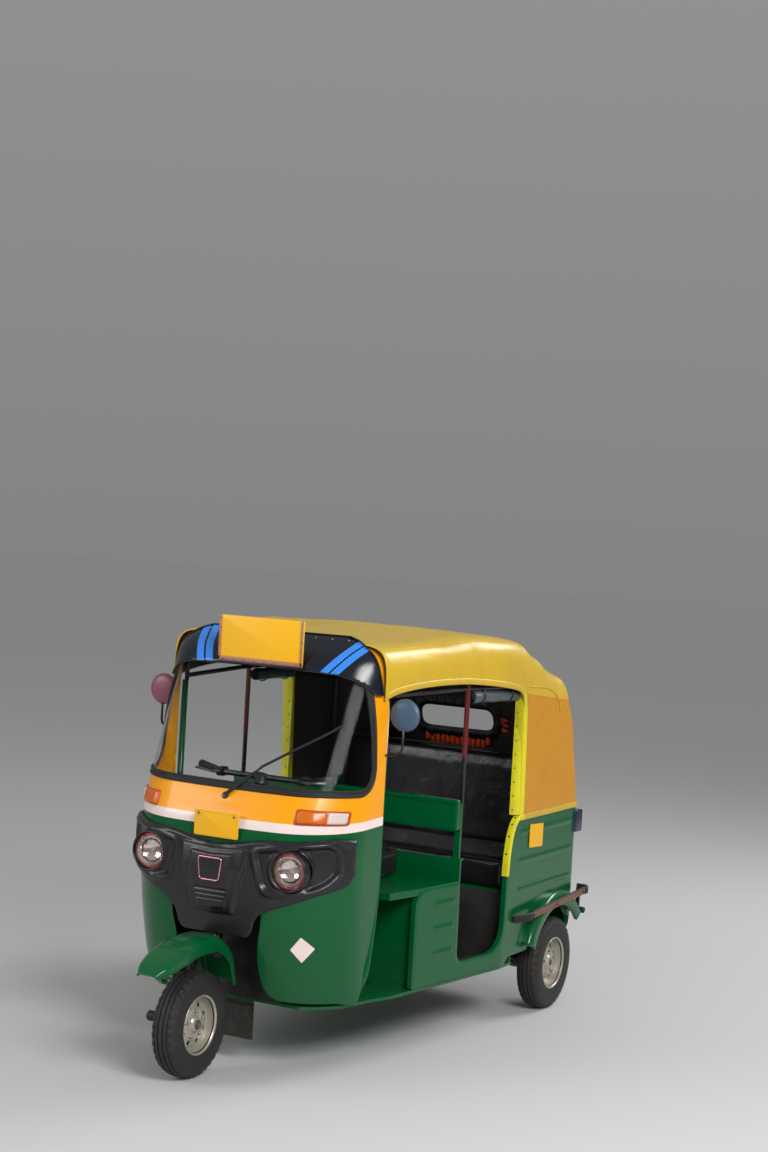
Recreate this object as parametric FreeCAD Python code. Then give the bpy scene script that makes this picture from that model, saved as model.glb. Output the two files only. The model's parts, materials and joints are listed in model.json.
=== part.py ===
import FreeCAD, Part
import math
import os

# Auto rickshaw, millimetres. +X is forward, +Y the vehicle's left, +Z up.
# The origin is on the ground, midway between the axles.

V = FreeCAD.Vector
UP = V(0, 0, 1)
AHEAD = V(1, 0, 0)
LEFT = V(0, 1, 0)

# Driving sizes
LENGTH = 2635.0
WIDTH = 1300.0
ROOF_Z = 1704.0
WHEELBASE = 2000.0
TRACK = 1150.0
TYRE_R = 205.0
AXLE_R = 14.0
SHEET = 3.0
POST_X = 455.0
NOSE_HALF = 490.0
BODY_HALF = 600.0
BENCH_X = -480.0
TAIL_X = -1243.0
FLOOR_Z = 270.0
DECK_Z = 905.0
AXLE_X = WHEELBASE / 2
FRONT = LENGTH / 2
SIDE = WIDTH / 2
GAP = 0.3
FLAT = 1e-7
RUN = 0.06

# Steering axis: raked back, crossing wheel height just behind the axle
RAKE = math.radians(24.0)
STEER_X = 975.0


# Plain solids

def box(x0, x1, y0, y1, z0, z1):
    return Part.makeBox(x1 - x0, y1 - y0, z1 - z0, V(x0, y0, z0))


def rod(start, end, r):
    a = V(*start)
    b = V(*end)
    return Part.makeCylinder(r, (b - a).Length, a, b - a)


def pipe(points, r, sides=8):
    # Straight runs of a many-sided bar with mitred bends.
    path = [V(*p) for p in points]
    runs = [(b - a).normalize() for a, b in zip(path, path[1:])]
    across = runs[0].cross(UP) if abs(runs[0].z) < 0.9 else runs[0].cross(AHEAD)
    across.normalize()
    over = across.cross(runs[0])
    turns = [math.radians(360.0 * (i + 0.5) / sides) for i in range(sides)]
    loop = [path[0] + across * (r * math.cos(a)) + over * (r * math.sin(a)) for a in turns]
    loops = [loop]
    for i in range(1, len(path)):
        run = runs[i - 1]
        mitre = run + runs[i] if i < len(runs) else run
        loop = [p + run * ((path[i] - p).dot(mitre) / run.dot(mitre)) for p in loop]
        loops.append(loop)
    return skinned(loops)


def skinned(loops):
    # Solid through matching closed loops of points, its sides flat quads or pairs of triangles.
    rings = [loops[0], loops[-1]]
    for lower, upper in zip(loops, loops[1:]):
        for i, first in enumerate(lower):
            j = (i + 1) % len(lower)
            second, third, fourth = lower[j], upper[j], upper[i]
            normal = (second - first).cross(third - first).normalize()
            if abs((fourth - first).dot(normal)) < FLAT:
                rings.append([first, second, third, fourth])
            elif (third - first).Length < (fourth - second).Length:
                rings += [[first, second, third], [first, third, fourth]]
            else:
                rings += [[first, second, fourth], [second, third, fourth]]
    shell = Part.makeShell([Part.Face(Part.makePolygon(ring + ring[:1])) for ring in rings])
    shell.sewShape()
    solid = Part.makeSolid(shell)
    if solid.Volume < 0:
        solid.reverse()
    return solid


def slab(outline, plane, lo, hi):
    # Outline of (u, v) corners, or (u, v, radius, steps) where rounded, pulled from lo to hi.
    put = {"side": lambda u, v: V(u, lo, v), "plan": lambda u, v: V(u, v, lo), "front": lambda u, v: V(lo, u, v)}
    pull = {"side": V(0, hi - lo, 0), "plan": V(0, 0, hi - lo), "front": V(hi - lo, 0, 0)}
    points = [put[plane](u, v) for u, v in rounded(outline)]
    return Part.Face(Part.makePolygon(points + points[:1])).extrude(pull[plane])


def rounded(outline):
    result = []
    for i, corner in enumerate(outline):
        if len(corner) == 2:
            result.append(corner)
            continue
        u, v, r, steps = corner
        here = V(u, v, 0)
        before = (V(*outline[i - 1][:2], 0) - here).normalize()
        after = (V(*outline[(i + 1) % len(outline)][:2], 0) - here).normalize()
        half = before.getAngle(after) / 2
        centre = here + (before + after).normalize() * (r / math.sin(half))
        start = here + before * (r / math.tan(half)) - centre
        stop = here + after * (r / math.tan(half)) - centre
        sweep = math.atan2(start.x * stop.y - start.y * stop.x, start.dot(stop))
        for k in range(steps + 1):
            a = sweep * k / steps
            result.append((centre.x + start.x * math.cos(a) - start.y * math.sin(a),
                           centre.y + start.x * math.sin(a) + start.y * math.cos(a)))
    return result


def turned(profile, centre, steps):
    # Solid of (radius, y) corners turned about the Y axis through centre, with flat facets.
    cx, cy, cz = centre
    rows = []
    for i in range(steps):
        a = 2 * math.pi * i / steps
        rows.append([V(cx + r * math.cos(a), cy + y, cz + r * math.sin(a)) for r, y in profile])
    faces = []
    for i in range(steps):
        row = rows[i]
        following = rows[(i + 1) % steps]
        for j in range(len(profile)):
            k = (j + 1) % len(profile)
            loop = [row[j], row[k], following[k], following[j], row[j]]
            faces.append(Part.Face(Part.makePolygon(loop)))
    shell = Part.makeShell(faces)
    shell.sewShape()
    solid = Part.makeSolid(shell)
    if solid.Volume < 0:
        solid.reverse()
    return solid


def disc(centre, axis, r, depth, sides=16):
    # Many-sided puck, its flats touching radius r.
    middle = V(*centre)
    across = axis.cross(UP) if abs(axis.z) < 0.9 else axis.cross(AHEAD)
    across.normalize()
    over = across.cross(axis)
    outer = r / math.cos(math.pi / sides)
    loop = []
    for i in range(sides):
        a = 2 * math.pi * (i + 0.5) / sides
        loop.append(middle + across * (outer * math.cos(a)) + over * (outer * math.sin(a)))
    return Part.Face(Part.makePolygon(loop + loop[:1])).extrude(axis * depth)


def mirror(shape):
    return shape.mirror(V(0, 0, 0), LEFT)


def both(shape):
    return Part.makeCompound([shape, mirror(shape)])


def side_y(x):
    # Half width of the body at x: it widens from the door post back to the bench.
    run = min(max((POST_X - x) / (POST_X - BENCH_X), 0.0), 1.0)
    return NOSE_HALF + (BODY_HALF - NOSE_HALF) * run


def steer_point(z):
    return V(STEER_X - (z - TYRE_R) * math.tan(RAKE), 0, z)


def along_steer(z0, z1, r, sides=16):
    a = steer_point(z0)
    run = steer_point(z1) - a
    length = run.Length
    return disc(tuple(a), run.normalize(), r, length, sides)


# Nose shell: level sections from the sill to the roof edge
NOSE = [
    # z, front x, half width, corner radius
    (250, 780, 462, 290),
    (340, 812, 470, 290),
    (480, 846, 478, 290),
    (620, 868, 484, 290),
    (820, 882, NOSE_HALF, 288),
    (960, 872, NOSE_HALF, 285),
    (1050, 842, NOSE_HALF, 280),
    (1300, 728, NOSE_HALF, 240),
    (1560, 608, 488, 195),
    (1610, 578, 478, 170),
    (1645, 540, 450, 130),
    (1680, 494, 396, 90),
]
NOSE_BOW = 2300.0
NOSE_BACK = 240.0
CORNER_STEPS = 5
FRONT_STEPS = 3


def nose_loop(front, half, corner, inset):
    # Points of one level section, right side to left side.
    bow = NOSE_BOW - inset
    corner -= inset
    cy = half - inset - corner
    fx = front - NOSE_BOW
    cx = fx + math.sqrt((bow - corner) ** 2 - cy ** 2)
    turn = math.atan2(cy, cx - fx)
    left = [(NOSE_BACK, half - inset)]
    for i in range(CORNER_STEPS):
        a = math.pi / 2 + (turn - math.pi / 2) * i / CORNER_STEPS
        left.append((cx + corner * math.cos(a), cy + corner * math.sin(a)))
    for i in range(FRONT_STEPS):
        a = turn * (1 - i / FRONT_STEPS)
        left.append((fx + bow * math.cos(a), bow * math.sin(a)))
    right = [(x, -y) for x, y in left]
    return right + [(fx + bow, 0.0)] + left[::-1]


def nose_rows(low, high):
    # Rows of the table that reach from one height to the other.
    first = max(i for i, row in enumerate(NOSE) if i == 0 or row[0] <= low)
    last = min(i for i, row in enumerate(NOSE) if i == len(NOSE) - 1 or row[0] >= high)
    return NOSE[first:last + 1]


def nose(inset, low=250, high=1680):
    loops = []
    for z, front, half, corner in nose_rows(low, high):
        loops.append([V(x, y, z) for x, y in nose_loop(front, half, corner, inset)])
    return skinned(loops)


POST_LINE = [(532, 240), (526, 310), (508, 375), (482, 505), (460, 645), (POST_X, 760), (POST_X, 1700)]
AHEAD_OF_POST = slab(POST_LINE + [(1200, 1700), (1200, 240)], "side", -700, 700)


def nose_skin(outer, inner, low=250, high=1680):
    # Curved sheet between two insets of the nose, open at the door posts.
    loops = []
    for z, front, half, corner in nose_rows(low, high):
        outside = nose_loop(front, half, corner, outer)
        inside = nose_loop(front, half, corner, inner)
        loops.append([V(x, y, z) for x, y in outside + inside[::-1]])
    return skinned(loops).common(AHEAD_OF_POST)


STRIPE = slab([(950, 946), (430, 966), (430, 1000), (950, 982)], "side", -700, 700)
BELOW_STRIPE = slab([(950, 946), (430, 966), (430, 200), (950, 200)], "side", -700, 700)
ABOVE_STRIPE = slab([(950, 982), (430, 1000), (430, 1700), (950, 1700)], "side", -700, 700)

# Recess for the steered wheel, wider towards the ground
RECESS_HALF = 235.0
RECESS_BACK = 730.0
RECESS_TOP = 640.0
RECESS_OUTLINE = [(-285, 240), (-262, 358), (-245, 457), (-226, 553), (-214, RECESS_TOP),
                  (214, RECESS_TOP), (226, 553), (245, 457), (262, 358), (285, 240)]
RECESS_CUT = slab(RECESS_OUTLINE, "front", RECESS_BACK, 1100)
SILL_CUT = slab([(430, 150), (430, 262), (560, 268), (640, 284), (1000, 290), (1000, 150)], "side", -700, 700)

front_apron = nose_skin(0, SHEET, 250, 980).common(BELOW_STRIPE).cut(SILL_CUT).cut(RECESS_CUT)
waist_stripe = nose_skin(0, SHEET, 900, 1040).common(STRIPE)

# Windscreen: opening, rubber and glass
SCREEN_LOW = 1103.0
SCREEN_HIGH = 1585.0
SEAL_W = 32.0


def screen_cut(grow):
    low = SCREEN_LOW - grow
    high = SCREEN_HIGH + grow
    return slab([(552 - grow, low, 82 + grow, 4), (1100, low), (1100, high), (540 - grow, high, 60 + grow, 4)],
                "side", -700, 700)


cowl = nose_skin(0, SHEET, 970, 1680).common(ABOVE_STRIPE).cut(screen_cut(0))
windscreen_seal = nose_skin(-8, 0, 1060, 1605).common(screen_cut(SEAL_W / 2).cut(screen_cut(-SEAL_W / 2)))
windscreen = nose_skin(0, 5, 1060, 1605).common(screen_cut(-GAP))

# Wheel recess walls and the steering head over them
WALL = 4.0
COLUMN_R = 20.0
HEAD_R = 32.0
HEAD_LOW = 652.0
HEAD_HIGH = 900.0
recess_back = box(RECESS_BACK - WALL, RECESS_BACK, -RECESS_HALF, RECESS_HALF, FLOOR_Z, RECESS_TOP)
recess_cheek = box(RECESS_BACK - WALL, 900, RECESS_HALF, RECESS_HALF + WALL, 300, RECESS_TOP)
recess_roof = box(RECESS_BACK - WALL, 900, -RECESS_HALF - WALL, RECESS_HALF + WALL, RECESS_TOP, RECESS_TOP + WALL)
recess_roof = recess_roof.cut(along_steer(560, 760, HEAD_R + 2))
recess_wall = recess_back.fuse(recess_cheek).fuse(mirror(recess_cheek)).fuse(recess_roof)
recess_wall = recess_wall.common(nose(SHEET, 250, 700))
head_tube = along_steer(HEAD_LOW, HEAD_HIGH, HEAD_R)
cross_brace = box(RECESS_BACK, 765, -480, 480, 700, 750).common(nose(SHEET, 650, 800))
drop_plate = box(RECESS_BACK, 745, -160, 160, RECESS_TOP + WALL, 700)
steering_head = head_tube.fuse(cross_brace).fuse(drop_plate).cut(along_steer(560, 1000, COLUMN_R + RUN, 24))
wheel_recess = recess_wall.fuse(steering_head)

# Black mask: a proud skin with lamp barrels, recessed side panels and a centre muzzle
MASK_OUT = 14.0
MASK_OUTLINE = [
    (-488, 926), (-440, 938), (-325, 920), (-195, 918), (-100, 896), (0, 886), (100, 896), (195, 918),
    (325, 920), (440, 938), (488, 926), (492, 795), (472, 757), (368, 705), (222, 648), (180, 612),
    (165, 556), (145, 532), (-145, 532), (-165, 556), (-180, 612), (-222, 648), (-368, 705), (-472, 757), (-492, 795)]
MASK_PANEL = [(400, 888), (482, 888), (484, 812), (460, 782), (400, 762)]
MASK_BACK_X = 655.0
mask_zone = slab(MASK_OUTLINE, "front", MASK_BACK_X, 1200)
mask_panels = both(slab(MASK_PANEL, "front", MASK_BACK_X + 12, 1200))
mask_skin = nose_skin(-MASK_OUT, -GAP, 500, 940).common(mask_zone)
fascia = mask_skin.cut(nose_skin(-MASK_OUT - 5, -MASK_OUT + 7, 740, 900).common(mask_panels))
brow = slab([(-470, 936), (-325, 922), (-195, 918), (-100, 896), (0, 886), (100, 896), (195, 918), (325, 922),
             (470, 936), (468, 908), (325, 892), (195, 884), (100, 864), (0, 851), (-100, 864), (-195, 884),
             (-325, 892), (-468, 908)], "front", MASK_BACK_X + 40, 1200)
fascia = fascia.fuse(nose_skin(-MASK_OUT - 14, -GAP, 830, 940).common(brow))
MUZZLE_HALF = 112.0
muzzle_side = [(860, 858), (907, 858), (922, 800), (916, 720), (902, 660), (886, 634), (860, 634)]
muzzle = slab(muzzle_side, "side", -MUZZLE_HALF, MUZZLE_HALF)
muzzle = muzzle.common(slab([(-MUZZLE_HALF, 870), (MUZZLE_HALF, 870), (96, 650), (84, 630), (-84, 630), (-96, 650)],
                            "front", 700, 1000))
clear_of_nose = nose(-GAP, 500, 940)
fascia = fascia.fuse(muzzle.cut(clear_of_nose))
LAMP_Y = 316.0
LAMP_Z = 810.0
LAMP_R = 64.0
LAMP_FACE = 872.0
barrel = disc((700, LAMP_Y, LAMP_Z), AHEAD, LAMP_R + 12, LAMP_FACE - 700, 16).cut(clear_of_nose)
lamp_holes = both(disc((700, LAMP_Y, LAMP_Z), AHEAD, LAMP_R, 300, 16))
fascia = fascia.fuse(both(barrel)).cut(lamp_holes)
front_apron = front_apron.cut(lamp_holes)
SLAT_TOP = 706.0
SLAT_PITCH = 15.0
SLATS = 3
for i in range(SLATS):
    slat_z = SLAT_TOP - i * SLAT_PITCH
    fascia = fascia.cut(box(907 - 4 * i, 940, -62, 62, slat_z - 7, slat_z))
headlamps = both(disc((LAMP_FACE - 34, LAMP_Y, LAMP_Z), AHEAD, LAMP_R - 1, 30, 16))

BADGE = [(-50, 838), (50, 838), (44, 744), (-44, 744)]
fascia = fascia.fuse(slab(BADGE, "front", 900, 929))

INDICATOR = [(314, 988), (463, 988), (463, 1034), (314, 1040)]
lamp_slab = slab(INDICATOR, "front", 640, 1200)
front_indicators = both(nose_skin(-14, -GAP, 970, 1045).common(lamp_slab))

PLATE_HOLE_R = 3.5
PLATE_HOLE_Y = 80.0
PLATE_Z = 956.0
plate_sheet = box(888, 891, -100, 100, PLATE_Z - 50, PLATE_Z + 50)
plate_arm = box(860, 888, -60, 60, PLATE_Z - 30, PLATE_Z + 30).cut(nose(-GAP, 900, 1000))
front_plate = plate_sheet.fuse(plate_arm)
for hole_y in (-PLATE_HOLE_Y, PLATE_HOLE_Y):
    front_plate = front_plate.cut(disc((880, hole_y, PLATE_Z + 36), AHEAD, PLATE_HOLE_R, 20, 6))

wiper_boss = disc((812, 0, 1052), V(0.9, 0, 0.43).normalize(), 13, 36, 10).cut(nose(-8.5, 1000, 1120))
wiper_arm = pipe([(848, 4, 1066), (813, 90, 1145), (788, 138, 1188)], 4.5, 6)
wiper_blade = pipe([(782, 122, 1178), (735, 260, 1266), (691, 343, 1318), (643, 400, 1361)], 6, 6)
wiper = wiper_boss.fuse(wiper_arm).fuse(wiper_blade).cut(nose(-GAP, 1060, 1400))

dashboard = box(705, 860, -470, 470, 985, 1040).common(nose(SHEET, 970, 1045))

# Visor over the screen, and the blank sign board on it
VISOR_LINE = [(496, 1458), (520, 1472), (594, 1540), (640, 1556), (720, 1556), (720, 1720), (496, 1720)]
VISOR_LIP = [(496, 1458), (520, 1472), (594, 1540), (640, 1556), (720, 1556), (720, 1566), (640, 1566),
             (594, 1552), (514, 1484), (496, 1474)]
visor_lip = nose_skin(-12, -8.5, 1450, 1600).common(slab(VISOR_LIP, "side", -700, 700))
visor_seat = nose_skin(-12, -GAP, 1620, 1650).common(box(400, 1200, -700, 700, 1622, 1644))
visor = nose_skin(-16, -12, 1450, 1680).common(slab(VISOR_LINE, "side", -700, 700))
visor = visor.fuse(visor_lip).fuse(visor_seat)

SIGN_X = 634.0
SIGN_LOW = 1566.0
SIGN_TOP = 1743.0
sign_board = box(SIGN_X - 12, SIGN_X, -195, 190, SIGN_LOW, SIGN_TOP)
sign_ledge = box(600, SIGN_X + 12, -190, 185, SIGN_LOW - 10, SIGN_LOW)
sign_stay = box(560, SIGN_X - 12, 140, 152, SIGN_LOW + 60, SIGN_LOW + 72)
sign_board = sign_board.fuse(sign_ledge).fuse(sign_stay).fuse(mirror(sign_stay)).cut(nose(-16, 1540, 1680))

# Floor and door posts
POST_R = 13.0
FLOOR_EDGE = [(726, 318), (690, 366), (640, 407), (580, 437), (530, 450), (POST_X, 462), (330, 502), (BENCH_X, 594),
              (-600, 594)]
FLOOR_PLAN = FLOOR_EDGE + [(x, -y) for x, y in FLOOR_EDGE[::-1]]
floor_pan = slab(FLOOR_PLAN, "plan", FLOOR_Z - 12, FLOOR_Z)
post_path = [(x - POST_R - 1, NOSE_HALF - POST_R - 5, z) for x, z in POST_LINE[1:-1]]
post_path = [(512, 440, FLOOR_Z), (508, 447, 310)] + post_path[1:] + [(POST_X - POST_R - 1, NOSE_HALF - POST_R - 6, 1447)]
door_posts = both(pipe(post_path, POST_R))

# Seat box under the driver
SEATBOX_Z = 650.0
SEATBOX_BACK = -126.0
SEATBOX_FRONT = 185.0
PANEL_T = 22.0
side_plan = [(SEATBOX_BACK, side_y(SEATBOX_BACK)), (SEATBOX_FRONT, side_y(SEATBOX_FRONT)),
             (SEATBOX_FRONT, side_y(SEATBOX_FRONT) - PANEL_T), (SEATBOX_BACK, side_y(SEATBOX_BACK) - PANEL_T)]
side_shape = slab([(SEATBOX_BACK, FLOOR_Z), (SEATBOX_FRONT, FLOOR_Z), (SEATBOX_FRONT, SEATBOX_Z, 70, 5),
                   (SEATBOX_BACK, SEATBOX_Z)], "side", -700, 700)
side_panel_left = slab(side_plan, "plan", FLOOR_Z, SEATBOX_Z).common(side_shape)
RIB_ROWS = (400.0, 500.0, 600.0)
RIB_BACK = -97.0
RIB_FRONT = 48.0
for rib_z in RIB_ROWS:
    rib = pipe([(RIB_BACK, side_y(RIB_BACK) - 3, rib_z), (RIB_FRONT, side_y(RIB_FRONT) - 3, rib_z)], 8, 6)
    side_panel_left = side_panel_left.fuse(rib)
side_panels = both(side_panel_left)
SEAT_DECK = [(SEATBOX_BACK, side_y(SEATBOX_BACK) - 2), (SEATBOX_FRONT - 60, side_y(125) - 2), (340, 480), (340, -480),
             (SEATBOX_FRONT - 60, 2 - side_y(125)), (SEATBOX_BACK, 2 - side_y(SEATBOX_BACK))]
seat_front = box(150, 158, -500, 500, FLOOR_Z, SEATBOX_Z)
seat_box = slab(SEAT_DECK, "plan", SEATBOX_Z, SEATBOX_Z + 28).fuse(seat_front)
driver_seat = box(-60, 350, -330, 330, SEATBOX_Z + 28, 800)
driver_seat = driver_seat.makeChamfer(24, driver_seat.Edges)

# Partition between driver and bench, with its posts and handrails
PART_X = -130.0
PART_TOP = 768.0
partition_low = box(PART_X - 8, PART_X + 4, -554, 554, FLOOR_Z, PART_TOP)
backrest_arm = box(PART_X - 8, PART_X + 4, 520, 546, PART_TOP, 1000)
post_foot = box(PART_X - 36, PART_X - 8, 515, 550, PART_TOP - 8, PART_TOP)
partition = partition_low.fuse(both(backrest_arm)).fuse(both(post_foot))
driver_backrest = box(PART_X + 4, PART_X + 40, -545, 545, 885, 1015)
driver_backrest = driver_backrest.makeChamfer(12, driver_backrest.Edges)

# Rear body
REAR_LOW = 300.0
REAR_FRONT = -500.0
REAR_SKIN = 4.0
TAIL_ROUND = 55.0
ARCH_R = 262.0
ARCH_SIDES = 28
LEDGE = 38.0


def rear_block(inset):
    half = BODY_HALF - inset
    back = TAIL_X + inset
    r = TAIL_ROUND - inset
    return slab([(back, -half, r, 5), (REAR_FRONT, -half), (REAR_FRONT, half), (back, half, r, 5)],
                "plan", REAR_LOW, DECK_Z)


arch = disc((-AXLE_X, -700, TYRE_R), LEFT, ARCH_R, 1400, ARCH_SIDES)
ledge = rear_block(0).cut(rear_block(LEDGE)).common(box(-1400, -400, -700, 700, DECK_Z - 10, DECK_Z))
rear_shell = rear_block(0).cut(rear_block(REAR_SKIN)).cut(arch).fuse(ledge)
PANEL_LEAD = [(-498, 640), (-480, 640), (-480, 930), (-602, 930), (-602, DECK_Z - 2), (-580, 897), (-552, 873),
              (-526, 826), (-508, 755)]
rear_shell = rear_shell.cut(slab(PANEL_LEAD, "side", -700, 700))
for swage_z in (578.0, 705.0, 830.0):
    swage = pipe([(-1180, BODY_HALF, swage_z), (-600, BODY_HALF, swage_z)], 5, 6)
    rear_shell = rear_shell.fuse(swage.fuse(mirror(swage)).cut(rear_block(1)).cut(arch))
rear_side_left = rear_shell.common(box(-1400, -400, 470, 700, 200, 1000))
rear_sides = both(rear_side_left)
LID_HALF = 400.0
LID_LOW = 425.0
LID_HIGH = 690.0
LID_GAP = 4.0
back_wall = rear_shell.common(box(-1400, -1100, -470, 470, 200, 1000))
back_panel = back_wall.cut(box(-1300, -1200, -LID_HALF - LID_GAP, LID_HALF + LID_GAP, LID_LOW - LID_GAP,
                               LID_HIGH + LID_GAP))
HINGE_X = TAIL_X - 12
HINGE_Z = LID_HIGH + 8
HINGE_R = 6.0
KNUCKLE_R = 9.0
engine_lid = box(TAIL_X, TAIL_X + 4, -LID_HALF, LID_HALF, LID_LOW, LID_HIGH)
LOUVRES = 4
LOUVRE_PITCH = 24.0
for i in range(LOUVRES):
    louvre_z = LID_LOW + 60 + i * LOUVRE_PITCH
    louvre = slab([(TAIL_X, louvre_z), (TAIL_X - 9, louvre_z - 14), (TAIL_X, louvre_z - 14)], "side", 170, 350)
    engine_lid = engine_lid.fuse(louvre).fuse(mirror(louvre))
lid_handle = box(TAIL_X - 22, TAIL_X, -60, 60, 450, 470).cut(box(TAIL_X - 14, TAIL_X, -50, 50, 440, 480))
engine_lid = engine_lid.fuse(lid_handle)
HINGE_HALF = 280.0
hinge_pin = rod((HINGE_X, -HINGE_HALF, HINGE_Z), (HINGE_X, HINGE_HALF, HINGE_Z), HINGE_R)
hinge_strap = box(HINGE_X + 2, TAIL_X, -HINGE_HALF + 30, HINGE_HALF - 30, LID_HIGH - 30, HINGE_Z)
engine_lid = engine_lid.fuse(hinge_pin).fuse(hinge_strap)
for turn in (-1, 1):
    # Ears on the body hold the ends of the pin.
    y = turn * (HINGE_HALF - 10)
    knuckle = disc((HINGE_X, y - 8, HINGE_Z), LEFT, KNUCKLE_R, 16, 12)
    arm = box(HINGE_X - 4, TAIL_X, y - 8, y + 8, HINGE_Z + KNUCKLE_R - 3, HINGE_Z + KNUCKLE_R + 4)
    leaf = box(TAIL_X - 3, TAIL_X, y - 8, y + 8, HINGE_Z, HINGE_Z + 40)
    back_panel = back_panel.fuse(knuckle.fuse(arm).fuse(leaf))
back_panel = back_panel.cut(disc((HINGE_X, -400, HINGE_Z), LEFT, HINGE_R + RUN, 800, 16))
LAMP_PLAN = [(TAIL_X, 505), (TAIL_X - 30, 510), (TAIL_X - 32, 596, 26, 4), (TAIL_X - 10, 614, 30, 3), (-1190, 612),
             (-1180, BODY_HALF), (-1190, 540)]
tail_lamp = slab(LAMP_PLAN, "plan", 772, 866)
tail_lamps = both(tail_lamp.cut(rear_block(0)))

# Wheel houses, riser, bench and luggage deck
HOUSE_Y = 470.0
HOUSE_TOP = 560.0
SHELF_T = 12.0
house = box(TAIL_X, -600, HOUSE_Y, HOUSE_Y + 4, REAR_LOW, HOUSE_TOP)
house = house.fuse(box(TAIL_X, -600, HOUSE_Y, BODY_HALF, HOUSE_TOP, HOUSE_TOP + 4))
wheel_houses = both(house.common(rear_block(REAR_SKIN)))
seat_riser = box(-600, -592, -590, 590, FLOOR_Z, HOUSE_TOP + 4)
luggage_deck = box(TAIL_X, -592.5, -BODY_HALF, BODY_HALF, HOUSE_TOP + 4, HOUSE_TOP + 4 + SHELF_T)
luggage_deck = luggage_deck.common(rear_block(REAR_SKIN))
SHELF_Z = 712.0
BACK_X = -1110.0
luggage_shelf = box(TAIL_X, BACK_X - SHELF_T, -BODY_HALF, BODY_HALF, SHELF_Z - SHELF_T, SHELF_Z)
bench_base = luggage_deck.cut(box(TAIL_X, BACK_X - SHELF_T, -HOUSE_Y, HOUSE_Y, 500, 600)).fuse(seat_riser)
bench_base = bench_base.fuse(luggage_shelf.common(rear_block(REAR_SKIN)))
BENCH_Z = HOUSE_TOP + 4 + SHELF_T
passenger_seat = box(-1040, -570, -560, 560, BENCH_Z, 715)
passenger_seat = passenger_seat.makeChamfer(28, passenger_seat.Edges)
passenger_backrest = box(BACK_X, -1040, -540, 540, 640, 1130)
passenger_backrest = passenger_backrest.makeChamfer(22, passenger_backrest.Edges)
backrest_frame = box(BACK_X - SHELF_T, BACK_X, -500, 500, BENCH_Z, 1090)

# Sills under the passenger entries
SILL_PLAN = [(REAR_FRONT, side_y(REAR_FRONT) - 2), (PART_X - 8, side_y(PART_X) - 2), (PART_X - 8, side_y(PART_X) - 28),
             (REAR_FRONT, side_y(REAR_FRONT) - 28)]
SILL_Z = 338.0
SILL_ROUND = [(-495, SILL_Z, 120, 6), (-145, SILL_Z, 40, 4), (-145, 700), (-495, 700)]
sill = slab(SILL_PLAN, "plan", FLOOR_Z, SILL_Z + 122).cut(slab(SILL_ROUND, "side", 400, 700))
entry_sills = both(sill)

# Rear fenders: sheet over the wheel, closed on the outside
FENDER_R = 324.0
FENDER_T = 4.0
FENDER_SIDE = 638.0
FENDER_LOW = 330.0
fender_cover = disc((-AXLE_X, BODY_HALF, TYRE_R), LEFT, FENDER_R, FENDER_SIDE - BODY_HALF, ARCH_SIDES)
fender_room = disc((-AXLE_X, BODY_HALF - 1, TYRE_R), LEFT, FENDER_R - FENDER_T, FENDER_SIDE - BODY_HALF - FENDER_T + 1,
                   ARCH_SIDES)
fender = fender_cover.cut(fender_room).cut(arch).common(box(TAIL_X + 10, -600, 500, 700, FENDER_LOW, 700))
rear_fenders = both(fender)

# Guards along the sides and the rail behind
GUARD_PLAN = [(-572, BODY_HALF + 4), (-638, SIDE), (-1288, SIDE), (-1308, SIDE - 20), (-1308, 585), (-1303, 585),
              (-1303, SIDE - 22), (-1286, SIDE - 5), (-640, SIDE - 5), (-586, BODY_HALF + 4)]
GUARD_BAND = [(-560, 444), (-560, 474), (-1320, 518), (-1320, 488)]
guard_strap = slab(GUARD_PLAN, "plan", 430, 530).common(slab(GUARD_BAND, "side", 500, 700))
guard_foot = box(-600, -572, BODY_HALF, BODY_HALF + 4, 446, 474)
guard_stay = box(-960, -920, FENDER_SIDE, SIDE - 5, 472, 488)
BUMPER_R = 14.0
BUMPER_X = -FRONT + BUMPER_R * math.cos(math.pi / 8)
BUMPER_Z = 400.0
bumper_rail = pipe([(BUMPER_X, -630, BUMPER_Z), (BUMPER_X, 630, BUMPER_Z)], BUMPER_R)
bumper_arm = box(BUMPER_X - 2, TAIL_X, 430, 455, BUMPER_Z - 12, BUMPER_Z + 12)
rear_bumper = bumper_rail.fuse(bumper_arm).fuse(mirror(bumper_arm))
guard_end = box(-1308, -1296, 585, 605, BUMPER_Z, 500)
side_guards = both(guard_strap.fuse(guard_foot).fuse(guard_stay).fuse(guard_end).cut(rear_bumper))

# Hood: level crown falling to the back, with rounded shoulders
HOOD = [
    # x, half width, crown z
    (492, 492, 1676),
    (200, 520, 1690),
    (-50, 550, 1700),
    (-300, 580, ROOF_Z),
    (-500, 602, 1686),
    (-700, 604, 1618),
    (-880, 604, 1536),
    (-1010, 604, 1498),
    (-1270, 604, 1470),
]
HOOD_DROP = 13.0
HOOD_ROUND = 88.0
HOOD_STEPS = 4
CROWN_STEPS = 2
HOOD_LOW = 860.0
HOOD_BACK = [(-1262, 860), (-1253, 886), (-1204, 1055), (-1155, 1240), (-1114, 1383)]


def hood_loop(x, half, crown, inset):
    r = HOOD_ROUND - inset
    flat = half - inset - r
    shoulder = crown - inset - HOOD_DROP
    left = [(half - inset, HOOD_LOW)]
    for i in range(HOOD_STEPS + 1):
        a = math.pi / 2 * i / HOOD_STEPS
        left.append((flat + r * math.cos(a), shoulder - r + r * math.sin(a)))
    for i in range(1, CROWN_STEPS):
        share = 1 - i / CROWN_STEPS
        left.append((flat * share, crown - inset - HOOD_DROP * share ** 2))
    right = [(-y, z) for y, z in left]
    return [V(x, y, z) for y, z in right + [(0.0, crown - inset)] + left[::-1]]


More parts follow.
